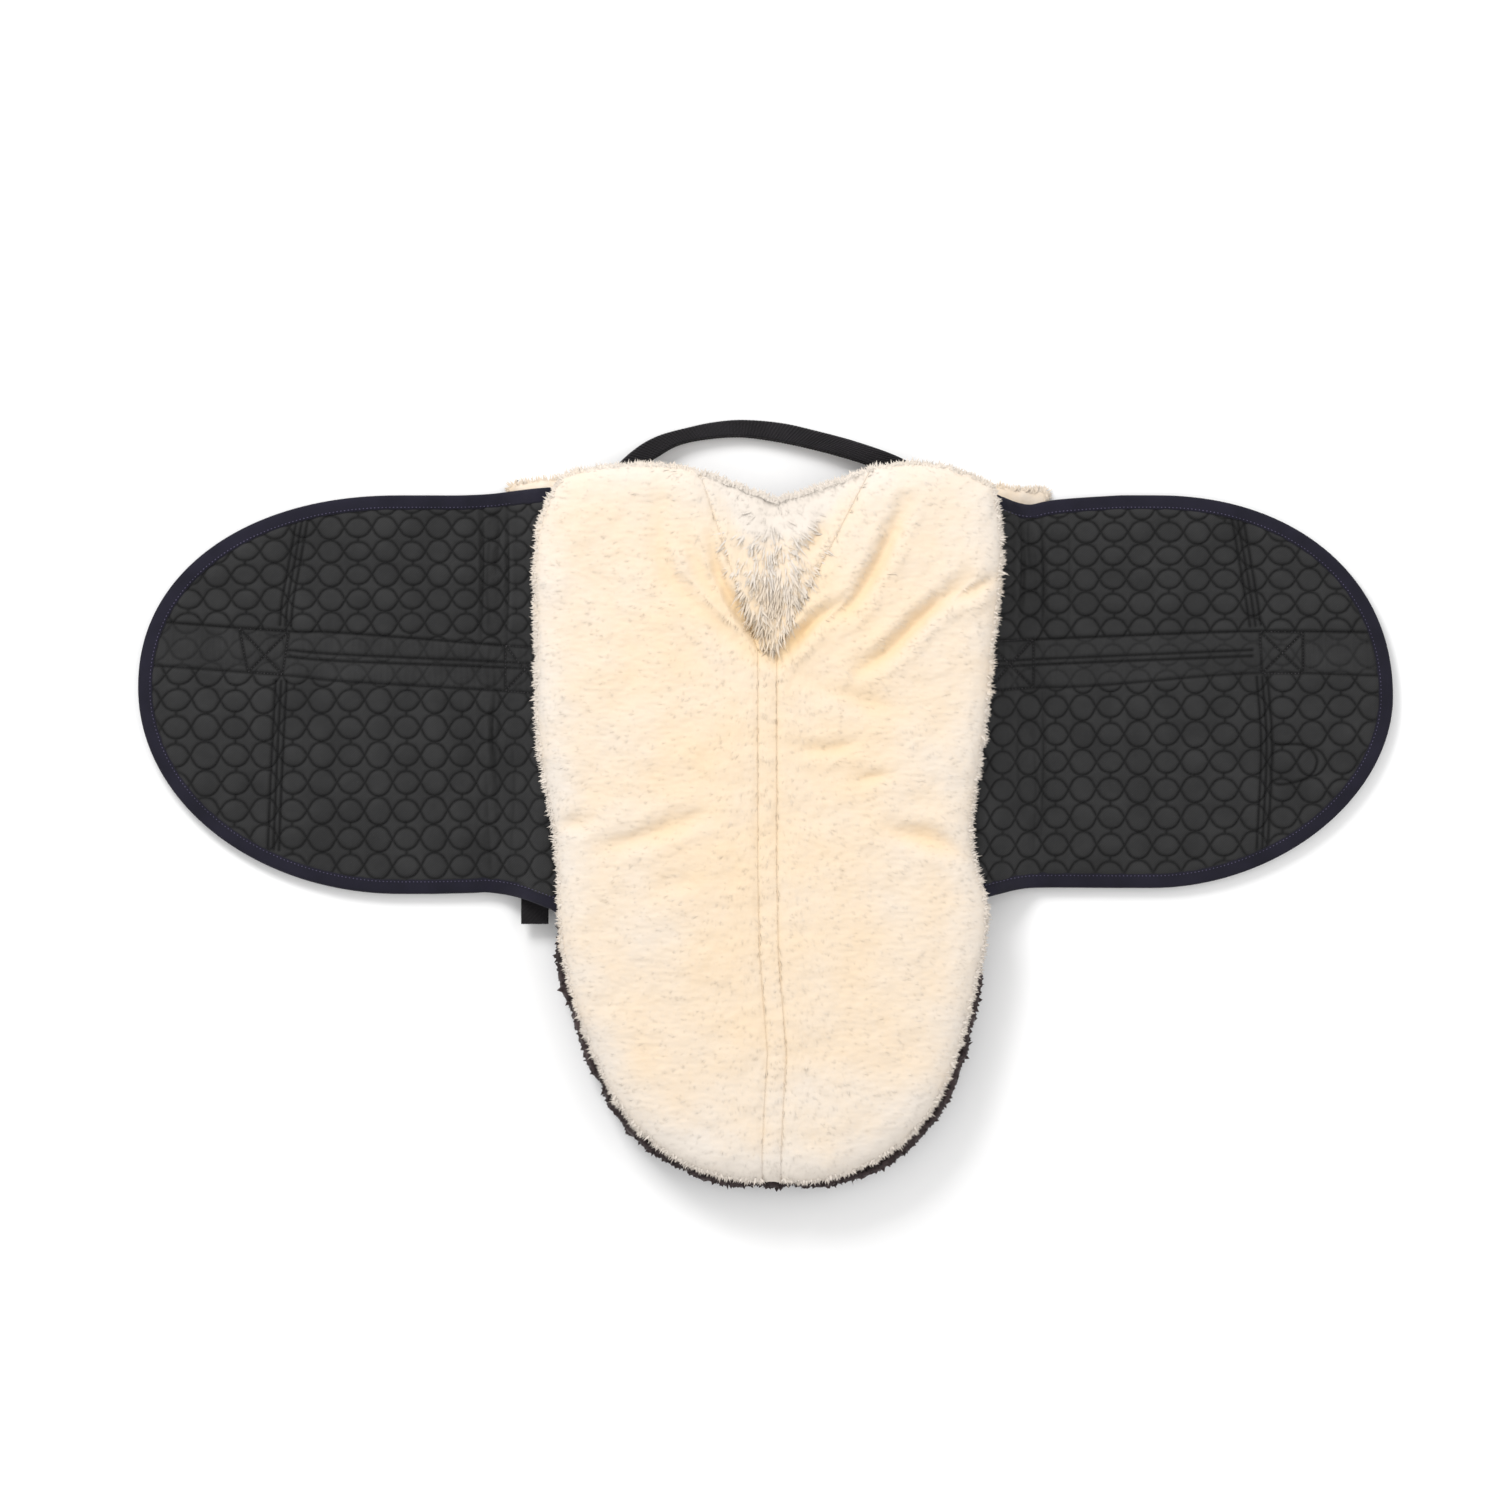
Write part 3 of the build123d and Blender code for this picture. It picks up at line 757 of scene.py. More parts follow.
def pile(name, roots, heading, up, shade, length, width, bend, seed, material=CREAM, slot="cream_wool"):
    """A piece of locks of wool on the seat, with uneven lengths and tones, shaded like the surface under it."""
    rng = np.random.default_rng(seed)
    uneven = rng.normal(1, 0.22, len(roots)).clip(0.5, 1.6)
    curl = rng.normal(0, bend, (len(roots), 3))
    wide = width * rng.normal(1, 0.2, len(roots)).clip(0.6, 1.5)
    shape = locks(roots, heading, length * uneven, wide, curl, up)
    tone = (shade + rng.normal(0, 0.03, len(roots)))[:, None] + LOCK_TONE[None]
    piece = mesh_piece(name, shape, material, "seat", slot, shade=tone.ravel())
    piece.data.normals_split_custom_set_from_vertices(np.repeat(up, len(LOCK_TONE), axis=0).tolist())
    return piece


def combed(flat, seed):
    """The way that the pile lies at flat points: outward from the spine and towards the rear, with swirls."""
    x, y = flat.T
    swirl = 0.9 * noise(x, y, 40, seed) + 0.5 * noise(x, y, 12, seed + 1)
    angle = np.arctan2(-0.7, x / 70) + swirl
    return np.column_stack([np.cos(angle), np.sin(angle), np.zeros(len(flat))])


def surface_locks(name, piece, patch, shade, count, seed):
    """Short locks all over a fleece."""
    rng = np.random.default_rng(seed)
    chosen = rng.choice(len(patch.flat), count, replace=False)
    points, normals = surface(piece, len(patch.flat))
    points, normals = points[chosen], normals[chosen]
    lean = combed(points[:, :2], seed) + rng.normal(0, 0.14, (count, 3))
    lean -= normals * np.einsum("ij,ij->i", lean, normals)[:, None]
    pile(name, points - normals * 0.2, normals * 0.04 + lean, normals, shade[chosen] + 0.04,
         np.full(count, 5.0), np.full(count, 1.1), 0.03, seed)


def fringe(name, roots, heading, up, tone, seed):
    """Locks that stand out from the lining's outer edge."""
    pile(name, roots, heading, up, tone, np.full(len(roots), FRINGE_LENGTH), np.full(len(roots), FRINGE_WIDTH),
         0.16, seed)


def edge_locks(patch, shade, seed):
    """Roots, headings and shades for locks that stand out from the lining's outer edge."""
    rng = np.random.default_rng(seed)
    loop = patch.flat[patch.loop]
    free = at_seam(loop) < 0.5
    spots, outward, tone = loop[free], patch.outward[free], shade[patch.loop][free]
    rim = rim_height(*spots.T)
    roots, headings, ups, tones = [], [], [], []
    for share in (0.06, 0.2, 0.34, 0.48, 0.62, 0.76, 0.9, 1.04):
        picked = (rng.random(len(spots)) < 0.8) & ((share > 0.1) | (spots[:, 1] < 200))
        z = rim + (SIDE_TOP + 2 - rim) * share + rng.normal(0, 1.5, len(spots))
        bulge = 1.6 * math.sin(math.pi * min(share + 0.1, 1))
        root = np.column_stack([spots + outward * (bulge - 2.6), z])
        lift = np.full(len(spots), share * 0.9 - 0.35)
        heading = np.column_stack([outward, lift]) + rng.normal(0, 0.38, (len(spots), 3))
        roots.append(root[picked])
        headings.append(heading[picked])
        up = np.column_stack([outward * (1.1 - share), np.full(len(spots), 0.25 + share)])
        ups.append((up / np.linalg.norm(up, axis=1)[:, None])[picked])
        tones.append(tone[picked] + 0.1)
    return np.vstack(roots), np.vstack(headings), np.vstack(ups), np.concatenate(tones)


def make_lining():
    """The two panels, the spine strip and the withers gusset, with their locks."""
    for name, seed in (("left", 11), ("right", 21)):
        piece, patch, shade = fleece_piece(f"lining_fleece_{name}", f"lining_skin_{name}", PANEL_STEP, seed)
        surface_locks(f"lining_pile_{name}", piece, patch, shade, 8000, seed + 2)
        roots, heading, up, tone = edge_locks(patch, shade, seed + 3)
        fringe(f"lining_fringe_{name}", drift(roots), heading, up, tone, seed + 4)
    piece, patch, shade = fleece_piece("spine_fleece", "spine_strip", FLEECE_STEP, 31)
    surface_locks("spine_pile", piece, patch, shade, 1000, 32)
    piece, patch, shade = fleece_piece("withers_fleece", "withers_gusset", FLEECE_STEP, 41)
    surface_locks("withers_pile", piece, patch, shade, 1800, 42)
    fringe("withers_fringe", *edge_locks(patch, shade, 43), 44)
    make_curls(piece, patch, shade)


def make_curls(piece, patch, shade):
    """Longer curly locks that fan out rearward in the withers hollow."""
    rng = np.random.default_rng(51)
    x, y = patch.flat.T
    weight = bell(np.hypot((x - 8) * 1.2, (y - 190) * 0.7), 0, 30)
    chosen = rng.choice(len(patch.flat), 1500, replace=False, p=weight / weight.sum())
    points, normals = surface(piece, len(patch.flat))
    points, normals = points[chosen], normals[chosen]
    away = points - (8, 275, 0)
    away[:, 2] = 0
    away /= np.linalg.norm(away, axis=1)[:, None] + 1
    clump = noise(points[:, 0] * 2.6, points[:, 1] * 0.8, 20, 53)
    heading = normals * 0.25 + away * (1.6, 1, 1) + rng.normal(0, 0.15, points.shape)
    heading[:, 0] += 0.5 * clump
    length = 7 + 6 * rng.random(len(points))
    pile("withers_curls", points - normals * 0.6, heading, normals, shade[chosen] + 0.3 + 0.25 * clump, length,
         np.full(len(points), 1.8), 0.16, 52)


make_lining()


# ---------------------------------------------------------------------------------------------------------
# The rider-side sheepskin, the foam and the knee rolls

SEAT_LIP = 33.0  # how high the seat skin's edge rolls up, to meet the lining
# Rings of locks round the seat skin's edge: height, how far the skin bulges there, how much they lift
SEAT_FRINGE = ((8, 1.0, -0.5), (14, 2.6, -0.3), (20, 3.4, 0.15), (26, 2.6, 0.6), (31, -0.5, 1.2))


def make_seat_wool():
    """Dark sheepskin, flat where it lies, whose edge rolls up round the foam."""
    edge = cad_outline("seat_skin")
    edge[:, 1] -= 5.0 * ramp(edge[:, 1], 150, 220)  # the lining hides its front edge
    patch = Patch(ragged(ragged(edge, 1.8, 61, size=13), 3.0, 67, size=44), 2.1)
    x, y = patch.flat.T
    edge = resample(cad_outline("seat_skin"), 1.0, closed=True)
    outer, _ = Near(edge)(patch.flat)
    clumps = noise(x, y, 17, 62) + 0.7 * noise(x, y, 7, 63)
    rounding = 7 * (1 - np.sqrt(1 - (1 - np.clip(outer / 14, 0, 1)) ** 2))
    bottom = np.maximum(1.4 + 0.9 * clumps, 0.2) + rounding
    spots = patch.flat[patch.loop]
    behind = 1 - ramp(spots[:, 1], 150, 200)  # at the front the lining hides the skin's edge
    uneven = (1 + 0.12 * noise(*spots.T, 9, 64)) * (1.3 * behind - 0.3)
    rings = [(2.0 * uneven, -12), (3.6 * uneven, -17), (3.8 * uneven, -22), (2.6 * uneven, -27), (-0.5, -31),
             (-5, -SEAT_LIP), (-10, -31), (-13, -26), (-14, -22.5)]
    shape, extra = patch.closed(-bottom, rings, shade=0.5 + 0.2 * clumps)
    piece = mesh_piece("seat_fleece", upside_down(shape), BROWN, "seat", "brown_wool", ("seat_skin",), **extra)
    rng = np.random.default_rng(65)
    roots, headings, ups = [], [], []
    outward, spots = patch.outward[behind > 0.5], spots[behind > 0.5]
    for height, bulge, lift in SEAT_FRINGE:
        root = np.column_stack([spots + outward * (bulge - 1.8), height + rng.normal(0, 1.2, len(spots))])
        heading = np.column_stack([outward, np.full(len(spots), lift)]) + rng.normal(0, 0.5, root.shape)
        roots.append(root)
        headings.append(heading)
        ups.append(np.column_stack([outward * 0.8, np.full(len(spots), 0.6)]))
    roots, headings = np.vstack(roots), np.vstack(headings)
    pile("seat_fringe", roots, headings, np.vstack(ups), np.full(len(roots), 0.5), np.full(len(roots), 3.8),
         np.full(len(roots), 4.4), 0.15, 66, BROWN, "brown_wool")


def make_foam():
    """The two foam cores, rounded at their edges, lower where the flaps' roots lie on them."""
    for name in SIDES:
        node = f"seat_foam_{name}"
        edge = cad_outline(node)
        patch = Patch(edge, 4.0)
        outer, _ = Near(resample(edge, 1.0, closed=True))(patch.flat)
        x, y = patch.flat.T
        step_down = (high(node)[2] - ROOT_BOTTOM + 0.4) * ramp(np.abs(x), 116, 119)
        rounding = 2.5 * (1 - np.sqrt(1 - (1 - np.clip(outer / 6, 0, 1)) ** 2))
        top = high(node)[2] - 0.5 - step_down - rounding + 0.25 * noise(x, y, 30, 71)
        shape, _ = patch.closed(top, [(0.0, low(node)[2] + 2.0), (-1.5, low(node)[2])])
        piece = mesh_piece(f"foam_core_{name}", shape, FOAM, "seat", "foam", (node,))


KNEE_ROLLS = {
    "left": [(180, 186), (226, 188), (234, 230), (231, 279), (215, 286), (190, 288), (180, 284)],
    "right": [(180, 186), (226, 188), (240, 230), (254, 275), (238, 279), (205, 282), (180, 280)],
}


def make_knee_rolls():
    """Wool-covered rolls under the flaps' front corners, whose pale fringe shows past the flaps' edge."""
    for name, sign in SIDES.items():
        points = KNEE_ROLLS[name]
        edge = ragged(curve(points + points[:2])[:-1], 1.5, 81)
        patch = Patch(edge, 2.0)
        x, y = patch.flat.T
        outer, _ = Near(resample(edge, 1.0, closed=True))(patch.flat)
        rounded = np.sqrt(1 - (1 - np.clip(outer / 14, 0, 1)) ** 2)
        full = np.minimum(slope_bottom(x) - 1.6, 32) - 0.8
        clumps = noise(x, y, 12, 82) + 0.6 * noise(x, y, 5, 83)
        top = 2.5 + (full - 2.5) * (0.55 + 0.45 * rounded) + 0.7 * clumps - 0.7
        rings = [(1.0, np.minimum(2.0, top[patch.loop] * 0.6)), (-0.5, 0.8), (-3.0, 0.2)]
        shape, extra = patch.closed(top, rings, shade=0.7 + 0.1 * clumps)
        piece = mesh_piece(f"knee_roll_fleece_{name}", placed(shape, sign), CREAM, "seat", "cream_wool",
                           (f"knee_roll_{name}",), **extra)
        rng = np.random.default_rng(84)
        spots, outward = patch.flat[patch.loop], patch.outward
        roots, headings = [], []
        for share in (0.15, 0.4, 0.65, 0.9, 0.95):
            z = 1.5 + (top[patch.loop] - 1.5) * share
            roots.append(np.column_stack([spots - outward * 2.0, z]))
            headings.append(np.column_stack([outward, np.full(len(z), 0.4 * share)])
                            + rng.normal(0, 0.35, (len(z), 3)))
        roots = np.vstack(roots) * (sign, 1, 1)
        headings = np.vstack(headings) * (sign, 1, 1)
        up = np.tile((0.0, 0.25, 0.97), (len(roots), 1))
        pile(f"knee_roll_fringe_{name}", roots, headings, up, np.full(len(roots), 0.7),
             np.full(len(roots), 6.0), np.full(len(roots), 1.6), 0.2, 85)


# ---------------------------------------------------------------------------------------------------------
# The flaps, in "across" coordinates: X is the distance from the spine

# The X of each rounded end's centre, the Y of its tip, its front and rear edges, how square its front and rear
# quarters are; the front and rear edges between the end and the lining; the quilting's columns in front of the
# girth band and behind it, as the first one's X, the pitch there and how fast it grows; the Y of the rows next
# to the girth band, the rows' pitch in front of it, and how many rows the band spans.
FLAPS = {
    "left": dict(
        end_x=329.0, tip_y=102.0, front=275.4, rear=-83.7, square=(2.15, 2.0),
        front_edge=[(150, 282), (195, 281), (225, 279), (250, 276.5), (275, 275.4), (300, 275.4)],
        rear_edge=[(300, -83.7), (265, -82.9), (248, -82.5), (221, -87), (194, -96), (180, -103), (150, -106)],
        front_columns=(223.6, 23.0, 0.14), rear_columns=(224.5, 24.2, 0.11),
        front_row=160.0, rear_row=91.0, front_pitch=21.6, band_rows=3),
    "right": dict(
        end_x=350.0, tip_y=93.0, front=275.5, rear=-78.3, square=(2.15, 1.9),
        front_edge=[(150, 277), (200, 275.5), (211, 273.6), (225, 269), (238, 267), (251, 269.8), (265, 271.8),
                    (290, 273.7), (320, 275.5)],
        rear_edge=[(320, -78.3), (250, -78.0), (228, -79.5), (211, -83), (198, -86), (175, -92), (150, -95)],
        front_columns=(213.0, 25.0, 0.01), rear_columns=(212.3, 24.0, 0.13),
        front_row=178.0, rear_row=85.0, front_pitch=21.4, band_rows=4),
}
REAR_PITCH = 24.9  # the rows' pitch behind the girth band
FACE_DIP = 3.4  # how far the deepest crease sinks below the flap's top
TALL_SWING, SHORT_SWING = 0.475, 0.40  # how far the lines swing in every other column, over the rows' pitch
PUFF_RADIUS = 0.43  # half a puff's width, as a share of the column's pitch
REACH = 0.5 / PUFF_RADIUS  # how far the lines' crossing is from a puff's middle, in radii

# Lines of stitching through the girth web and the billets' patch: front edge, two in the middle, rear edge
BAND = {
    "left": [[(196, 137), (234, 140), (383, 151.6), (431, 153), (551, 162)],
             [(196, 122), (234, 125), (383, 132), (431, 136)],
             [(196, 117), (234, 120), (383, 126), (431, 130)],
             [(196, 96), (234, 99), (383, 108), (431, 113), (551, 122)]],
    "right": [[(196, 143), (241, 145.5), (299, 148), (438, 153), (551, 152)],
              [(196, 125), (241, 127.5), (299, 130), (438, 136)],
              [(196, 120), (241, 122.5), (299, 125), (438, 130.5)],
              [(196, 99), (241, 102), (299, 104), (438, 115), (551, 113)]],
}
# The corners of the X-boxes at the band's inner and outer ends
BOXES = {
    "left": [[(198, 137), (234, 140), (234, 99), (198, 96)], [(429, 153), (474, 156), (466, 116), (435, 114)]],
    "right": [[(198, 143), (241, 146), (241, 102), (198, 99)], [(445, 153), (484, 152), (484, 115), (447, 115)]],
}
# Middle of the triple line of stitching that holds the tape across the flap
TAPE_LINES = {
    "left": [[(417, 253), (424, 214), (430, 181), (432, 158)], [(436, 108), (440, 30), (443, -44)]],
    "right": [[(424, 259), (434, 202), (441, 158)], [(447, 112), (451, 49), (447, -44)]],
}
TAPE_ROW_GAP = 5.0
LABEL_LINE = [(457, 51), (481, 51), (490, 47), (496, 38), (495, 30), (492, 25), (484, 19), (457, 17), (457, 51)]
# Creases pressed into the quilting beside the fold: points, depth, width
CREASES = {
    "left": [([(232, 262), (231, 200), (233, 142)], 2.4, 2.2), ([(241, 262), (240, 236), (243, 205)], 1.2, 2.4),
             ([(255, 268), (254, 215), (256, 146)], 2.2, 2.0), ([(244, 96), (246, 60), (243, 30)], 2.0, 2.2),
             ([(249, 235), (251, 190), (248, 160)], 1.2, 2.6), ([(257, 262), (256, 230), (258, 180)], 0.8, 2.8),
             ([(239, 96), (243, 40), (240, -20)], 1.0, 3.0), ([(228, 60), (226, 10), (230, -60)], 0.9, 3.0),
             ([(252, 30), (250, -20), (247, -70)], 0.9, 2.6)],
    "right": [([(248, 258), (250, 200), (249, 150)], 2.4, 2.2), ([(228, 258), (230, 225), (228, 165)], 2.0, 2.2),
              ([(249, 98), (250, 40), (248, -30)], 1.8, 2.2), ([(272, 262), (273, 200), (272, 152)], 1.0, 1.8),
              ([(231, 250), (233, 215), (231, 176)], 1.0, 2.4), ([(237, 262), (236, 240), (238, 205)], 1.4, 2.6),
              ([(229, 90), (226, 40), (230, -10)], 1.0, 3.0), ([(240, 70), (243, 10), (240, -55)], 0.9, 2.6)],
}


def placed(shape, sign):
    """A shape in across coordinates, put on its own side."""
    points, groups = shape
    return points * (sign, 1, 1), groups if sign > 0 else [group[:, ::-1] for group in groups]


def flap_edge(flap):
    """The flap's edge from under the lining, out along the front, round its end and back along the rear."""
    angles = np.radians(np.arange(0, 91, 2.0))

    def quarter(edge, power):
        across = flap["end_x"] + (FLAP_TIP - flap["end_x"]) * np.cos(angles).clip(0) ** (2 / power)
        return np.column_stack([across, flap["tip_y"] + (edge - flap["tip_y"]) * np.sin(angles) ** (2 / power)])

    front, rear = (quarter(flap[key], power) for key, power in zip(("front", "rear"), flap["square"]))
    return resample(np.vstack([curve(flap["front_edge"]), front[::-1], rear[1:], curve(flap["rear_edge"])]), 1.0)


def rows(flap, y):
    """Which row of quilting a Y is in, with its fraction."""
    front, rear = flap["front_row"], flap["rear_row"]
    inside = flap["band_rows"] * (y - rear) / (front - rear)
    ahead = flap["band_rows"] + (y - front) / flap["front_pitch"]
    return np.where(y > front, ahead, np.where(y < rear, (y - rear) / REAR_PITCH, inside))


def row_place(flap, v):
    """The Y of a row, with its fraction."""
    front, rear = flap["front_row"], flap["rear_row"]
    inside = rear + (front - rear) * v / flap["band_rows"]
    ahead = front + (v - flap["band_rows"]) * flap["front_pitch"]
    return np.where(v > flap["band_rows"], ahead, np.where(v < 0, rear + v * REAR_PITCH, inside))


def column_rule(flap, y):
    """The columns' first X, their pitch there and how fast it grows, at a Y."""
    behind = 1 - ramp(y, 85, 165)
    return (a * (1 - behind) + b * behind for a, b in zip(flap["front_columns"], flap["rear_columns"]))


def columns(flap, x, y):
    """Which column of quilting an X is in, with its fraction: they fan out from the band to the rear."""
    first, pitch, growth = column_rule(flap, y)
    return (np.sqrt(np.maximum(pitch ** 2 + 4 * growth * (x - first), 1)) - pitch) / (2 * growth)


def column_place(flap, u, y):
    """The X of a column, with its fraction."""
    first, pitch, growth = column_rule(flap, y)
    return first + pitch * u + growth * u ** 2


def half_height(column):
    """How far the lines swing round a puff, as a share of the row's pitch: every other column is taller."""
    return np.where(np.round(column) % 2 == 1, TALL_SWING, SHORT_SWING)


def line_rise(out):
    """How high a line runs at a distance from a puff's middle, in radii: round it, then straight to where the
    lines cross."""
    return np.where(out < 1 / REACH, np.sqrt(np.clip(1 - out ** 2, 0, 1)),
                    (REACH - out) / math.sqrt(REACH ** 2 - 1))


def puffs(flap, x, y):
    """The quilting's relief, round puffs between pairs of wavy lines that cross, and where the lines are, for
    painted shade.
    """
    u = columns(flap, x, y) + 0.05 * noise(x, y, 45, 91)
    v = rows(flap, y) + 0.05 * noise(x, y, 45, 92)
    pitch = REAR_PITCH - (REAR_PITCH - flap["front_pitch"]) * ramp(y, 85, 165)
    half = half_height(u) * pitch
    up = np.abs(v - np.round(v)) * pitch / half
    out = np.abs(u - np.round(u)) / PUFF_RADIUS
    rise = (up - line_rise(out)) * half
    run = (out - np.where(up > line_rise(1 / REACH), np.sqrt(np.clip(1 - up ** 2, 0, 1)),
                          REACH - up * math.sqrt(REACH ** 2 - 1))) * PUFF_RADIUS * REAR_PITCH
    distance = np.abs(rise * run) / (np.hypot(rise, run) + 1e-6)
    dome = np.sqrt(np.clip(1 - out ** 2 - up ** 2, 0, 1))
    return 2.0 * (1 - np.exp(-distance / 1.6)) + 1.5 * dome, bell(distance, 0, 1.15)


def beside(line, gap):
    """A line parallel to another, a gap to its left."""
    ahead = np.gradient(line, axis=0)
    ahead /= np.linalg.norm(ahead, axis=1)[:, None]
    return line + np.column_stack([-ahead[:, 1], ahead[:, 0]]) * gap


def box_lines(corners):
    """The outline and the diagonals of an X-box."""
    a, b, c, d = (np.array(p, float) for p in corners)
    return [np.array([a, b, c, d, a]), np.array([a, c]), np.array([b, d])]


def seam_lines(name):
    """Every line of stitching through a flap, apart from the quilting and the binding."""
    found = [curve(line) for line in BAND[name]]
    for line in TAPE_LINES[name]:
        found += [beside(curve(line, 2.0), gap) for gap in (-TAPE_ROW_GAP, 0, TAPE_ROW_GAP)]
    return found


class Flap:
    """What the layers of one flap share: its edge, its outline, and the height of its quilting."""

    def __init__(self, name):
        self.name, self.sign, self.shape = name, SIDES[name], FLAPS[name]
        self.edge = flap_edge(self.shape)
        self.bodies = ("seat", f"flap_{name}")
        self.outline = self.edge[::-1]
        self.edge_distance = Near(self.edge)
        lines = seam_lines(name)
        for corners in BOXES[name]:
            lines += box_lines(corners)
        if name == "right":
            lines.append(curve(LABEL_LINE))
        self.seams = Near(np.vstack([resample(line, 0.7) for line in lines]))
        self.band_front, self.band_rear = (curve(BAND[name][i]) for i in (0, 3))

    def in_band(self, x, y):
        """1 inside the girth band, 0 outside it."""
        front = np.interp(x, *self.band_front.T)
        rear = np.interp(x, *self.band_rear.T)
        return ramp(y, rear - 1.5, rear + 1.5) * ramp(-y, -front - 1.5, -front + 1.5) * ramp(x, 194, 198)

    def top(self, x, y):
        """Height of the quilted face."""
        return self.face(x, y)[0]

    def face(self, x, y):
        """Height of the quilted face, and how much painted shade its grooves get."""
        flat = np.column_stack([x, y])
        seed = 95 + self.sign
        to_seam = self.seams(flat)[0]
        band = self.in_band(x, y)
        soft = noise(x, y, 90, seed) + 0.45 * noise(x, y, 30, seed + 2)
        pucker = 0.22 * noise(x, y, 5, seed + 4) + 0.5 * noise(x * 2.4, y, 9, seed + 6) * bell(x, FOLD - 4, 24)
        relief, groove = puffs(self.shape, x, y)
        relief = relief * (1 - 0.55 * band) + 0.3 * band * np.cos(2 * np.pi * x / 6 + 3 * noise(x, y, 25, seed))
        relief -= 2.0 * bell(to_seam, 0, 1.7)
        # Painted shade along the quilting lines, less in the girth band, and along the other stitching.
        groove = np.maximum(groove * (0.9 - 0.45 * band), bell(to_seam, 0, 1.3))
        for points, deep, wide in CREASES[self.name]:
            line = curve(points)
            near = np.all((flat > line.min(0) - 12) & (flat < line.max(0) + 12), axis=1)
            if near.any():
                distance, at = Near(line)(flat[near])
                fading = deep * np.sin(np.pi * (0.08 + 0.84 * at / len(line)))
                relief[near] -= fading * (bell(distance, 0, wide) - 0.45 * bell(distance, 2.2 * wide, wide))
                # Painted shade down in the creases.
                groove[near] = np.maximum(groove[near], fading / 2.6 * bell(distance, 0, 0.5 * wide))
        level = ramp(self.edge_distance(flat)[0], 9, 17)
        height = slope_top(x) - 0.5 + (relief - 0.9 + 0.6 * soft + pucker) * level
        return np.maximum(height, slope_top(x) - FACE_DIP), groove * level

    def inner_runs(self, lines, clear, start):
        """The stretches of lines that lie inside the flap, clear of its edge and outside the lining."""
        found = []
        for line in lines:
            line = resample(line, 3.0)
            kept = contains(self.outline, line) & (self.edge_distance(line)[0] > clear) & (line[:, 0] > start)
            for run in np.split(np.arange(len(line)), np.nonzero(np.diff(kept.astype(int)))[0] + 1):
                if kept[run[0]] and len(run) > 2:
                    found.append(line[run])
        return found


def contains(outline, flat):
    """Whether each flat point is inside an outline."""
    a, b = outline, np.roll(outline, -1, 0)
    x, y = flat[:, :1], flat[:, 1:]
    crosses = (a[None, :, 1] > y) != (b[None, :, 1] > y)
    rise = np.where(b[:, 1] == a[:, 1], 1e-9, b[:, 1] - a[:, 1])
    at = a[:, 0] + (y - a[:, 1]) * (b[:, 0] - a[:, 0]) / rise
    return (crosses & (at > x)).sum(1) % 2 == 1


def quilting_lines(flap):
    """The wavy lines of the quilting over the whole flap, in pairs that cross between the puffs."""
    u = np.arange(-1.5, 14.5, 0.02)
    side = 1 - 2 * (np.round(u) % 2)
    swing = side * half_height(u) * line_rise(np.abs(u - np.round(u)) / PUFF_RADIUS)
    found = []
    for sign in (1, -1):
        for j in range(-10, 12):
            y = row_place(flap, j + sign * swing)
            found.append(np.column_stack([column_place(flap, u, y), y]))
    return found


def inset(edge, gap):
    """An edge moved a distance into the flap."""
    return beside(edge, -gap)


def make_quilting(flap):
    """The quilted face and the root that joins it to the seat, in one piece."""
    shrunk = inset(flap.edge, 0.9)[::-1]
    patch = Patch(shrunk, 1.2)
    x, y = patch.flat.T
    across = x[patch.loop]
    face_bottom = FLAP_TOP - FACE_DIP - 0.5
    bottom = np.where(across < FOLD + 0.5, slope_bottom(across) + 0.1,
                      FLAP_BOTTOM + (face_bottom - FLAP_BOTTOM) * ramp(across, FOLD + 0.5, FOLD + 4))
    height, groove = flap.face(x, y)
    # The grooves' painted shade goes to the mesh as an attribute.
    shape, extra = patch.closed(height, [(0.0, bottom)], across_base=True, groove=groove)
    piece = mesh_piece(f"quilted_cotton_{flap.name}", placed(shape, flap.sign), COTTON, flap.bodies,
                       "quilted_cotton", (f"quilted_face_{flap.name}", f"flap_root_{flap.name}"), **extra)


def make_threads(flap):
    """The stitching on the quilted face."""
    quilting = flap.inner_runs(quilting_lines(flap.shape), 14.0, 196.0)
    mesh_piece(f"quilting_thread_{flap.name}", placed(stitches(quilting, flap.top, wide=0.6), flap.sign),
               THREAD, flap.bodies, "quilted_cotton")
    seams = flap.inner_runs(seam_lines(flap.name), 12.0, 196.0)
    if flap.name == "right":
        seams.append(curve(LABEL_LINE))
    mesh_piece(f"band_thread_{flap.name}", placed(stitches(seams, flap.top, wide=1.0), flap.sign), THREAD,
               flap.bodies, "quilted_cotton")
    boxes = [line for corners in BOXES[flap.name] for line in box_lines(corners)]
    mesh_piece(f"box_thread_{flap.name}", placed(stitches(boxes, flap.top, wide=0.8), flap.sign),
               PALE_THREAD, flap.bodies, "quilted_cotton")


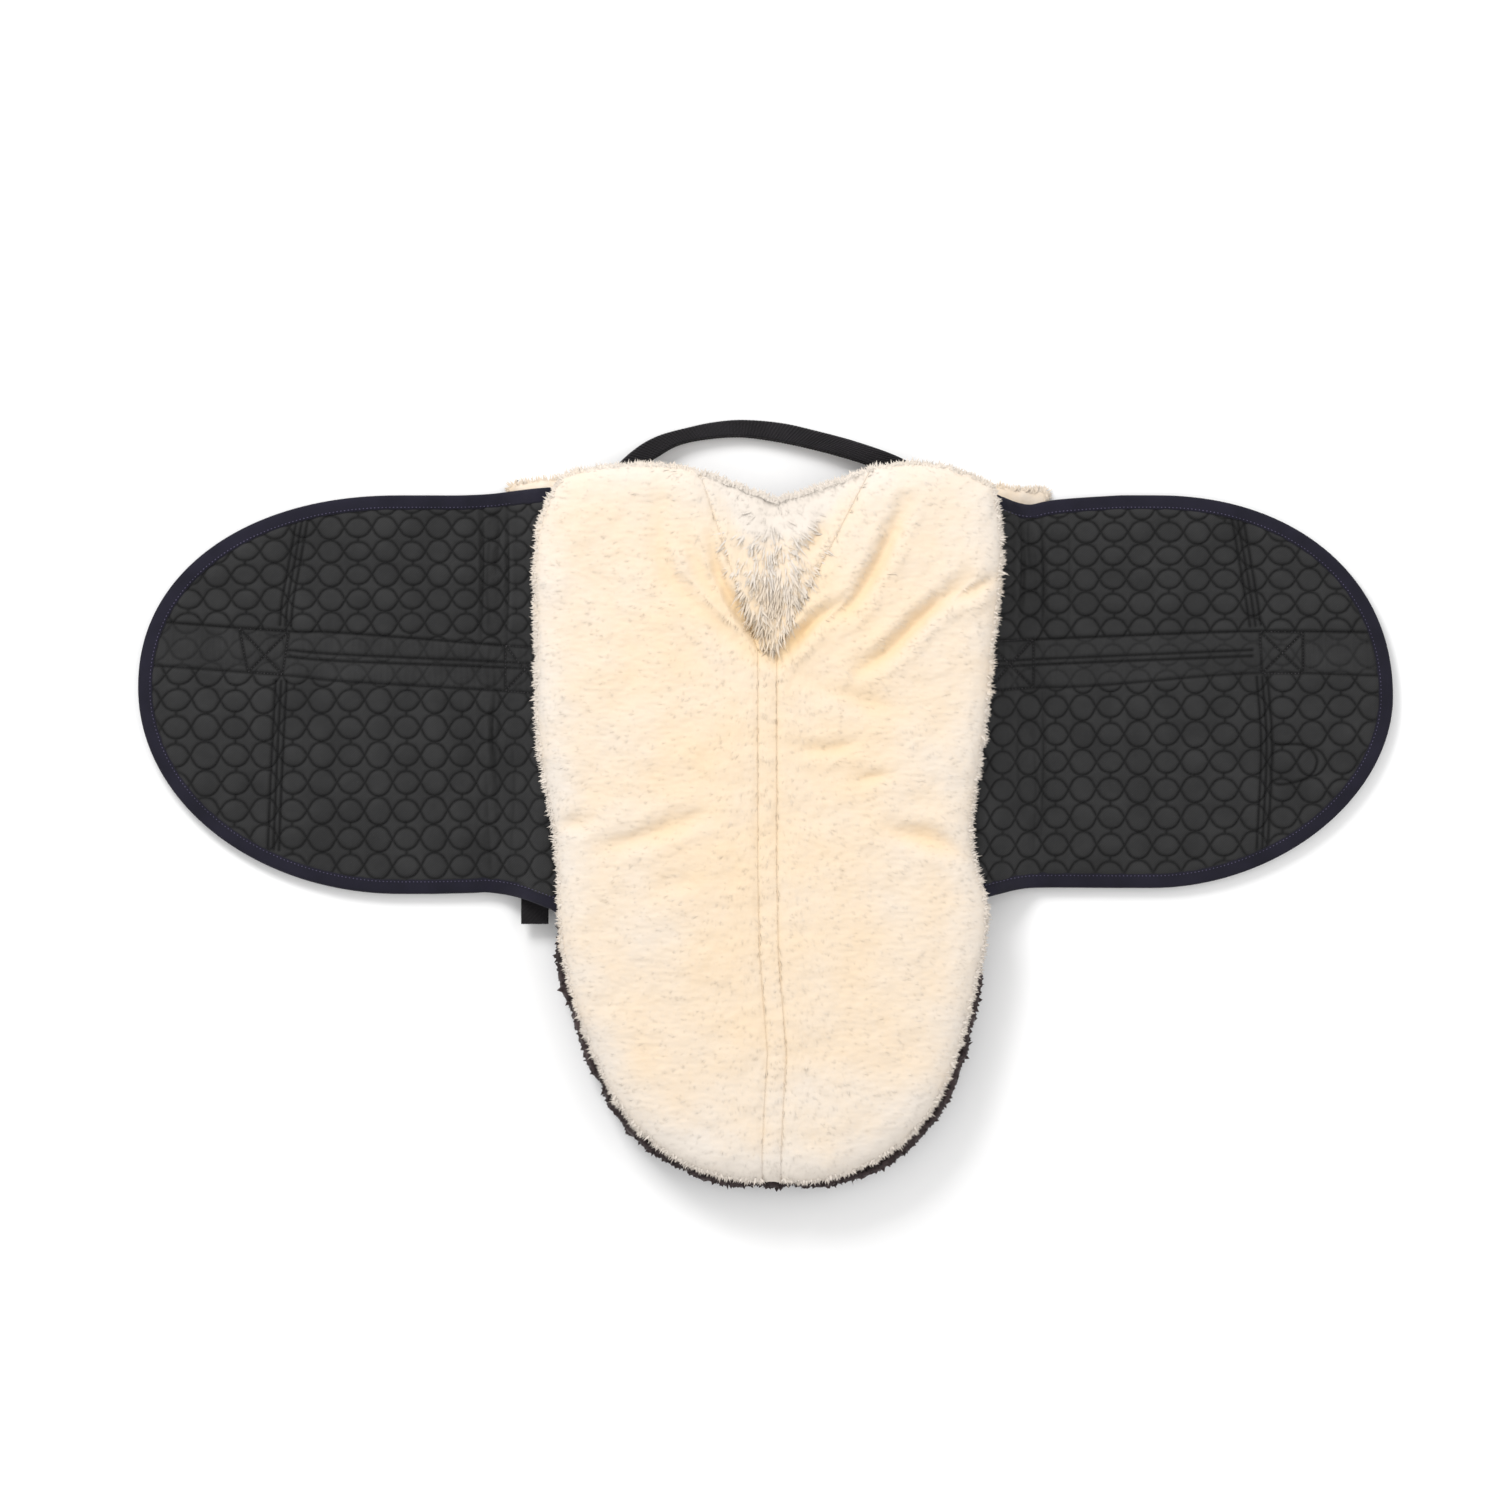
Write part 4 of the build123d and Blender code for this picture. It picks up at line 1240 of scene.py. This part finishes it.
def make_binding(flap):
    """Tape folded over the flap's edge, puckered by its stitching, and the stitching."""
    path = resample(flap.edge, 2.0)
    across = path[:, 0]
    upper, lower = slope_top(across), slope_bottom(across)
    half = (upper - lower) / 2
    gathered = 1 + 1.6 * ramp(275 - across, 0, 35)
    ripple = gathered * noise(np.arange(len(path)) * 2.0, np.zeros(len(path)), 7, 101 + flap.sign)

    def section(i):
        t, r = half[i], 0.35 * ripple[i]
        w = BINDING_WIDTH + 0.6 * ripple[i]
        over = [(w, 0.1), (w, 0.7), (w - 2, 0.9), (w - 5, 1.15 + r), (w - 9, 1.0 + r), (1.2, 0.75), (0.2, -0.4)]
        outside = [(s, t + h) for s, h in over] + [(0.0, 0.0)] + [(s, -t - h) for s, h in over[::-1]]
        return outside + [(1.1, 0.4 - t), (1.0, 0.0), (1.1, t - 0.4)]

    shape = facing_out(swept(np.column_stack([path, (upper + lower) / 2]), (0, 0, 1), section))
    mesh_piece(f"edge_binding_{flap.name}", placed(shape, flap.sign), TAPE, flap.bodies, "binding_tape",
               (f"binding_{flap.name}",))
    line = inset(flap.edge, BINDING_WIDTH - 2.0)
    above = stitches([line], lambda x, y: slope_top(x) + 0.95, pitch=3.4, length=2.5, wide=1.0)
    below = stitches([line], lambda x, y: slope_bottom(x) - 0.95, pitch=3.4, length=2.6, wide=0.75, below=True)
    mesh_piece(f"binding_thread_{flap.name}", placed(join([above, below]), flap.sign), BINDING_THREAD,
               flap.bodies, "binding_tape")


def make_rider_side(flap):
    """The wadding and the outer cotton, which is quilted too and lies flat under the webbing and tapes."""
    for inner, gap, step, kind in ((FOLD + 2.0, 3.0, 5.0, "wadding"), (FOLD + 0.3, 0.9, 2.0, "outer_cotton")):
        edge = inset(flap.edge, gap)
        edge = edge[edge[:, 0] > inner]
        outline = np.vstack([edge, [(inner, edge[-1, 1]), (inner, edge[0, 1])]])[::-1]
        patch = Patch(outline, step)
        x, y = patch.flat.T
        if kind == "wadding":
            top = FLAP_TOP - FACE_DIP - 0.9 + 0.2 * noise(x, y, 14, 111)
            form, _ = patch.closed(top, [(0.0, WADDING_BOTTOM + 0.1)], across_base=True)
            piece = mesh_piece(f"wadding_fill_{flap.name}", placed(form, flap.sign), BATTING, flap.bodies,
                               "wadding", (f"wadding_{flap.name}",))
            continue
        flat = np.column_stack([x, y])
        front, rear = np.interp(x, *flap.band_front.T), np.interp(x, *flap.band_rear.T)
        sewn = ramp(y, rear - 8, rear - 4) * ramp(-y, -front - 8, -front - 4)
        sewn = np.maximum(sewn, 1 - ramp(np.abs(x - TAPE_X), 12, 16))
        sewn = np.maximum(sewn, 1 - ramp(np.hypot(x - 477, y - 34), 24, 29))
        level = ramp(flap.edge_distance(flat)[0], 12, 18) * (1 - sewn)
        bottom = FLAP_BOTTOM - 0.05 - 0.6 * puffs(flap.shape, x, y)[0] * level
        form, _ = patch.closed(-bottom, [(0.0, -(WADDING_BOTTOM - 0.05))], across_base=True)
        piece = mesh_piece(f"rider_cotton_{flap.name}", placed(upside_down(form), flap.sign), TWILL,
                           flap.bodies, "cotton_twill", (f"outer_cotton_{flap.name}",))


# ---------------------------------------------------------------------------------------------------------
# Webbing: girth webs, rear loops and the grab handle

def strap(path, width, thick, rib=1.7, cords=11, side=None):
    """A webbing strap along a path: cords along it, and crosswise ribs on both faces."""
    path = resample(path, rib / 4)

    def section(i):
        swell = 0.10 * math.cos(math.pi / 2 * i)
        top = [(width * (k / (2 * cords) - 0.5), thick / 2 - 0.12 * (k % 2) + swell * (0 < k < 2 * cords))
               for k in range(2 * cords + 1)]
        return top + [(s, -h) for s, h in top[::-1]]

    return facing_out(swept(path, (0, 0, 1), section, side))


def make_girth_web(flap):
    """The web under the flap, from its anchor on the root to the outer X-box, and its stitching."""
    node = f"girth_web_{flap.name}"
    patch = f"billet_patch_{flap.name}"
    inner_y = low(node)[1] + WEB_WIDTH / 2
    outer_y = (low(patch)[1] + high(patch)[1]) / 2
    across = np.arange(197.0, 473.0, 1.0)
    y = np.interp(across, [FOLD, 474], [inner_y, outer_y])
    path = np.column_stack([across, y, slope_bottom(across) - 1.3])
    shape = strap(path, WEB_WIDTH, 2.2, rib=2.4, cords=16)
    mesh_piece(f"girth_webbing_{flap.name}", placed(shape, flap.sign), WEBBING, flap.bodies, "webbing",
               (node, f"girth_anchor_{flap.name}"))
    lines = [resample(line, 1.0) for line in BAND[flap.name]]
    lines = [line[(line[:, 0] > 199) & (line[:, 0] < 470)] for line in lines]
    lines[0], lines[3] = lines[0] - (0, 2.5), lines[3] + (0, 2.5)
    form = stitches(lines, lambda x, y: slope_bottom(x) - 2.35, pitch=3.4, length=2.6, wide=0.8, below=True)
    mesh_piece(f"webbing_thread_{flap.name}", placed(form, flap.sign), THREAD, flap.bodies, "webbing")


def make_rear_loop(name):
    """A pull loop of narrow webbing, folded back on itself and sewn under the flap's rear corner."""
    node = f"rear_loop_{name}"
    bottom, top = low(node), high(node)
    middle = (bottom[0] + top[0]) / 2
    thick = 1.5
    upper, lower = top[2] - thick / 2, bottom[2] + thick / 2
    radius = (upper - lower) / 2
    end = bottom[1] + radius + thick / 2
    turn = np.radians(np.arange(0, 181, 15))
    bend = np.column_stack([np.full(len(turn), middle), end - radius * np.sin(turn),
                            (upper + lower) / 2 + radius * np.cos(turn)])
    path = np.vstack([[(middle, top[1] - 1, upper)], bend, [(middle, top[1] - 1, lower)]])
    shape = strap(path, top[0] - bottom[0] - 0.5, thick, side=(1, 0, 0))
    mesh_piece(f"pull_loop_{name}", shape, WEBBING, "seat", "webbing", (node,))


HANDLE_TILT = math.radians(18.0)
HANDLE_THICK = 5.6
HANDLE_STEPS = 800
RIB_STEPS = 8  # steps along the handle from one rib to the next
# The handle's two edges in its own tilted plane: X, and distance from its pivot as a share of its reach
HANDLE_OUTER = [(-146, 0), (-121, 0.457), (-98, 0.72), (-67, 0.883), (-45, 0.965), (-20, 1.0), (13, 0.95),
                (43, 0.828), (83, 0.625), (123, 0.346), (148, 0)]
HANDLE_INNER = [(-120, 0), (-114, 0.16), (-97, 0.39), (-74, 0.61), (-37, 0.715), (-5, 0.69), (43, 0.512),
                (93, 0.235), (110, 0)]


def make_handle():
    """Webbing folded lengthwise into a thick handle, ribbed across, opening towards its sewn ends."""
    pivot = np.array(next(j["pos_m"] for j in frame["joints"] if j["name"] == "handle_swing")) / MM
    reach = (high("handle")[1] - pivot[1]) / math.cos(HANDLE_TILT) - 0.9
    outer, inner = (curve([(x, share * reach) for x, share in edge], 0.5)
                    for edge in (HANDLE_OUTER, HANDLE_INNER))
    at = np.linspace(0, 1, HANDLE_STEPS)
    outer, inner = (np.stack([np.interp(at, np.linspace(0, 1, len(line)), line[:, k]) for k in (0, 1)], axis=1)
                    for line in (outer, inner))
    forward = np.array([0, math.cos(HANDLE_TILT), -math.sin(HANDLE_TILT)])
    normal = np.array([0, math.sin(HANDLE_TILT), math.cos(HANDLE_TILT)])
    half = HANDLE_THICK / 2
    cords = [(k / 16, half - 0.16 * (k % 2)) for k in range(1, 15)]
    over = [(0.0, half - 0.4)] + cords + [(0.96, half * 0.72), (1.0, half * 0.25)]
    profile = over + [(a, -b) for a, b in over[::-1]] + [(0.02, -0.4), (0.82, -0.25), (0.82, 0.25), (0.02, 0.4)]
    sections = []
    for i in range(HANDLE_STEPS):
        rib = 1 + 0.15 * math.cos(2 * math.pi * i / RIB_STEPS)
        line = [inner[i] + (outer[i] - inner[i]) * a for a, _ in profile]
        sections.append(np.array([pivot + np.array([p[0], 0, 0]) + forward * p[1] + normal * b * rib
                                  for p, (_, b) in zip(line, profile)]))
    mesh_piece("grab_handle", facing_out(lofted(sections)), WEBBING, "handle", "webbing", ("handle",))
    seam = (inner + (outer - inner) * 0.14)[12:-12]
    seam = np.column_stack([seam[:, 0], pivot[1] + forward[1] * seam[:, 1]])

    def on_handle(x, y):
        return pivot[2] + (y - pivot[1]) * forward[2] / forward[1] + half / normal[2] + 0.05

    mesh_piece("handle_thread", stitches([seam], on_handle, pitch=3.2, length=2.5, wide=0.7), THREAD, "handle",
               "webbing")


# ---------------------------------------------------------------------------------------------------------
# CAD parts that stay, and the billets' stitching

def dress(node, material):
    """Gives a CAD node a material."""
    mesh = frame["nodes"][node].data
    mesh.materials.clear()
    mesh.materials.append(material)


BILLET_INSET = 2.2  # from a billet's edge to its stitching


def make_billets(name, sign):
    """Stitching round each billet's free end, and the materials of the CAD parts round it."""
    for place in ("front", "rear"):
        node = f"billet_{place}_{name}"
        dress(node, LEATHER)
        a, b = low(node), high(node)
        middle = (a[1] + b[1]) / 2
        half = (b[1] - a[1]) / 2 - BILLET_INSET
        near, far = sorted((abs(a[0]), abs(b[0])))
        tip = far - BILLET_INSET
        corner = half * 0.7
        line = [(near + 2, middle + half), (tip - corner, middle + half), (tip, middle + half - corner),
                (tip, middle - half + corner), (tip - corner, middle - half), (near + 2, middle - half)]
        shape = stitches([resample(line, 1.0)], lambda x, y: np.full(len(x), b[2] + 0.02), wide=0.7)
        mesh_piece(f"billet_thread_{place}_{name}", placed(shape, sign), PALE_THREAD, node, "billet_leather")
    dress(f"billet_roots_{name}", LEATHER)
    dress(f"billet_patch_{name}", TWILL)
    dress(f"cross_tape_{name}", TAPE)
    dress(f"handle_anchor_{name}", WEBBING)


make_seat_wool()
make_foam()
make_knee_rolls()
for flap_name in SIDES:
    one_flap = Flap(flap_name)
    make_quilting(one_flap)
    make_threads(one_flap)
    make_binding(one_flap)
    make_rider_side(one_flap)
    make_girth_web(one_flap)
    make_rear_loop(flap_name)
    make_billets(flap_name, SIDES[flap_name])
make_handle()
dress("seat_web", WEBBING)
dress("label_patch", LABEL)


# ---------------------------------------------------------------------------------------------------------
# Floor, light and camera

VIEW_WIDTH = 1350.0  # what the picture spans at the flaps' height
LENS, SENSOR = 135.0, 36.0
VIEW_CENTRE = (-14.0, 46.0)
FLOOR_HALF = 12.0  # half the floor's side, in metres


def make_floor():
    """A plain pale floor, large enough for every view."""
    mesh = bpy.data.meshes.new("floor")
    corners = [(FLOOR_HALF * x, FLOOR_HALF * y, 0) for x, y in ((-1, -1), (1, -1), (1, 1), (-1, 1))]
    mesh.from_pydata(corners, [], [(0, 1, 2, 3)])
    floor = bpy.data.objects.new("floor", mesh)
    bpy.context.scene.collection.objects.link(floor)
    finish = Finish("floor_paper", 0.95)
    finish.colour(finish.colours(finish.noise(400, 2), (0.2, (0.93, 0.93, 0.93)), (0.8, (0.95, 0.95, 0.95))))
    mesh.materials.append(finish.material)


def area_light(name, place, size, power):
    """A soft square light aimed at the pad."""
    lamp = bpy.data.lights.new(name, "AREA")
    lamp.size = size
    lamp.energy = power
    light = bpy.data.objects.new(name, lamp)
    light.location = place
    light.rotation_euler = Vector(place).to_track_quat("Z", "Y").to_euler()
    bpy.context.scene.collection.objects.link(light)


def make_studio():
    """Soft light from all round with a stronger soft key from the front left."""
    scene = bpy.context.scene
    world = bpy.data.worlds.new("studio")
    world.use_nodes = True
    world.node_tree.nodes["Background"].inputs["Color"].default_value = (1, 1, 1, 1)
    world.node_tree.nodes["Background"].inputs["Strength"].default_value = 0.86
    scene.world = world
    scene.view_settings.view_transform = "Standard"
    area_light("key", (-1.3, 2.2, 2.4), 1.2, 66)
    area_light("fill", (2.2, 0.6, 3.0), 2.2, 20)
    camera = bpy.data.objects.new("camera", bpy.data.cameras.new("camera"))
    camera.data.lens = LENS
    camera.data.sensor_width = SENSOR
    camera.data.clip_end = 100
    distance = VIEW_WIDTH * LENS / SENSOR
    camera.location = (VIEW_CENTRE[0] * MM, VIEW_CENTRE[1] * MM, (distance + FLAP_TOP) * MM)
    scene.collection.objects.link(camera)
    scene.camera = camera


make_floor()
make_studio()
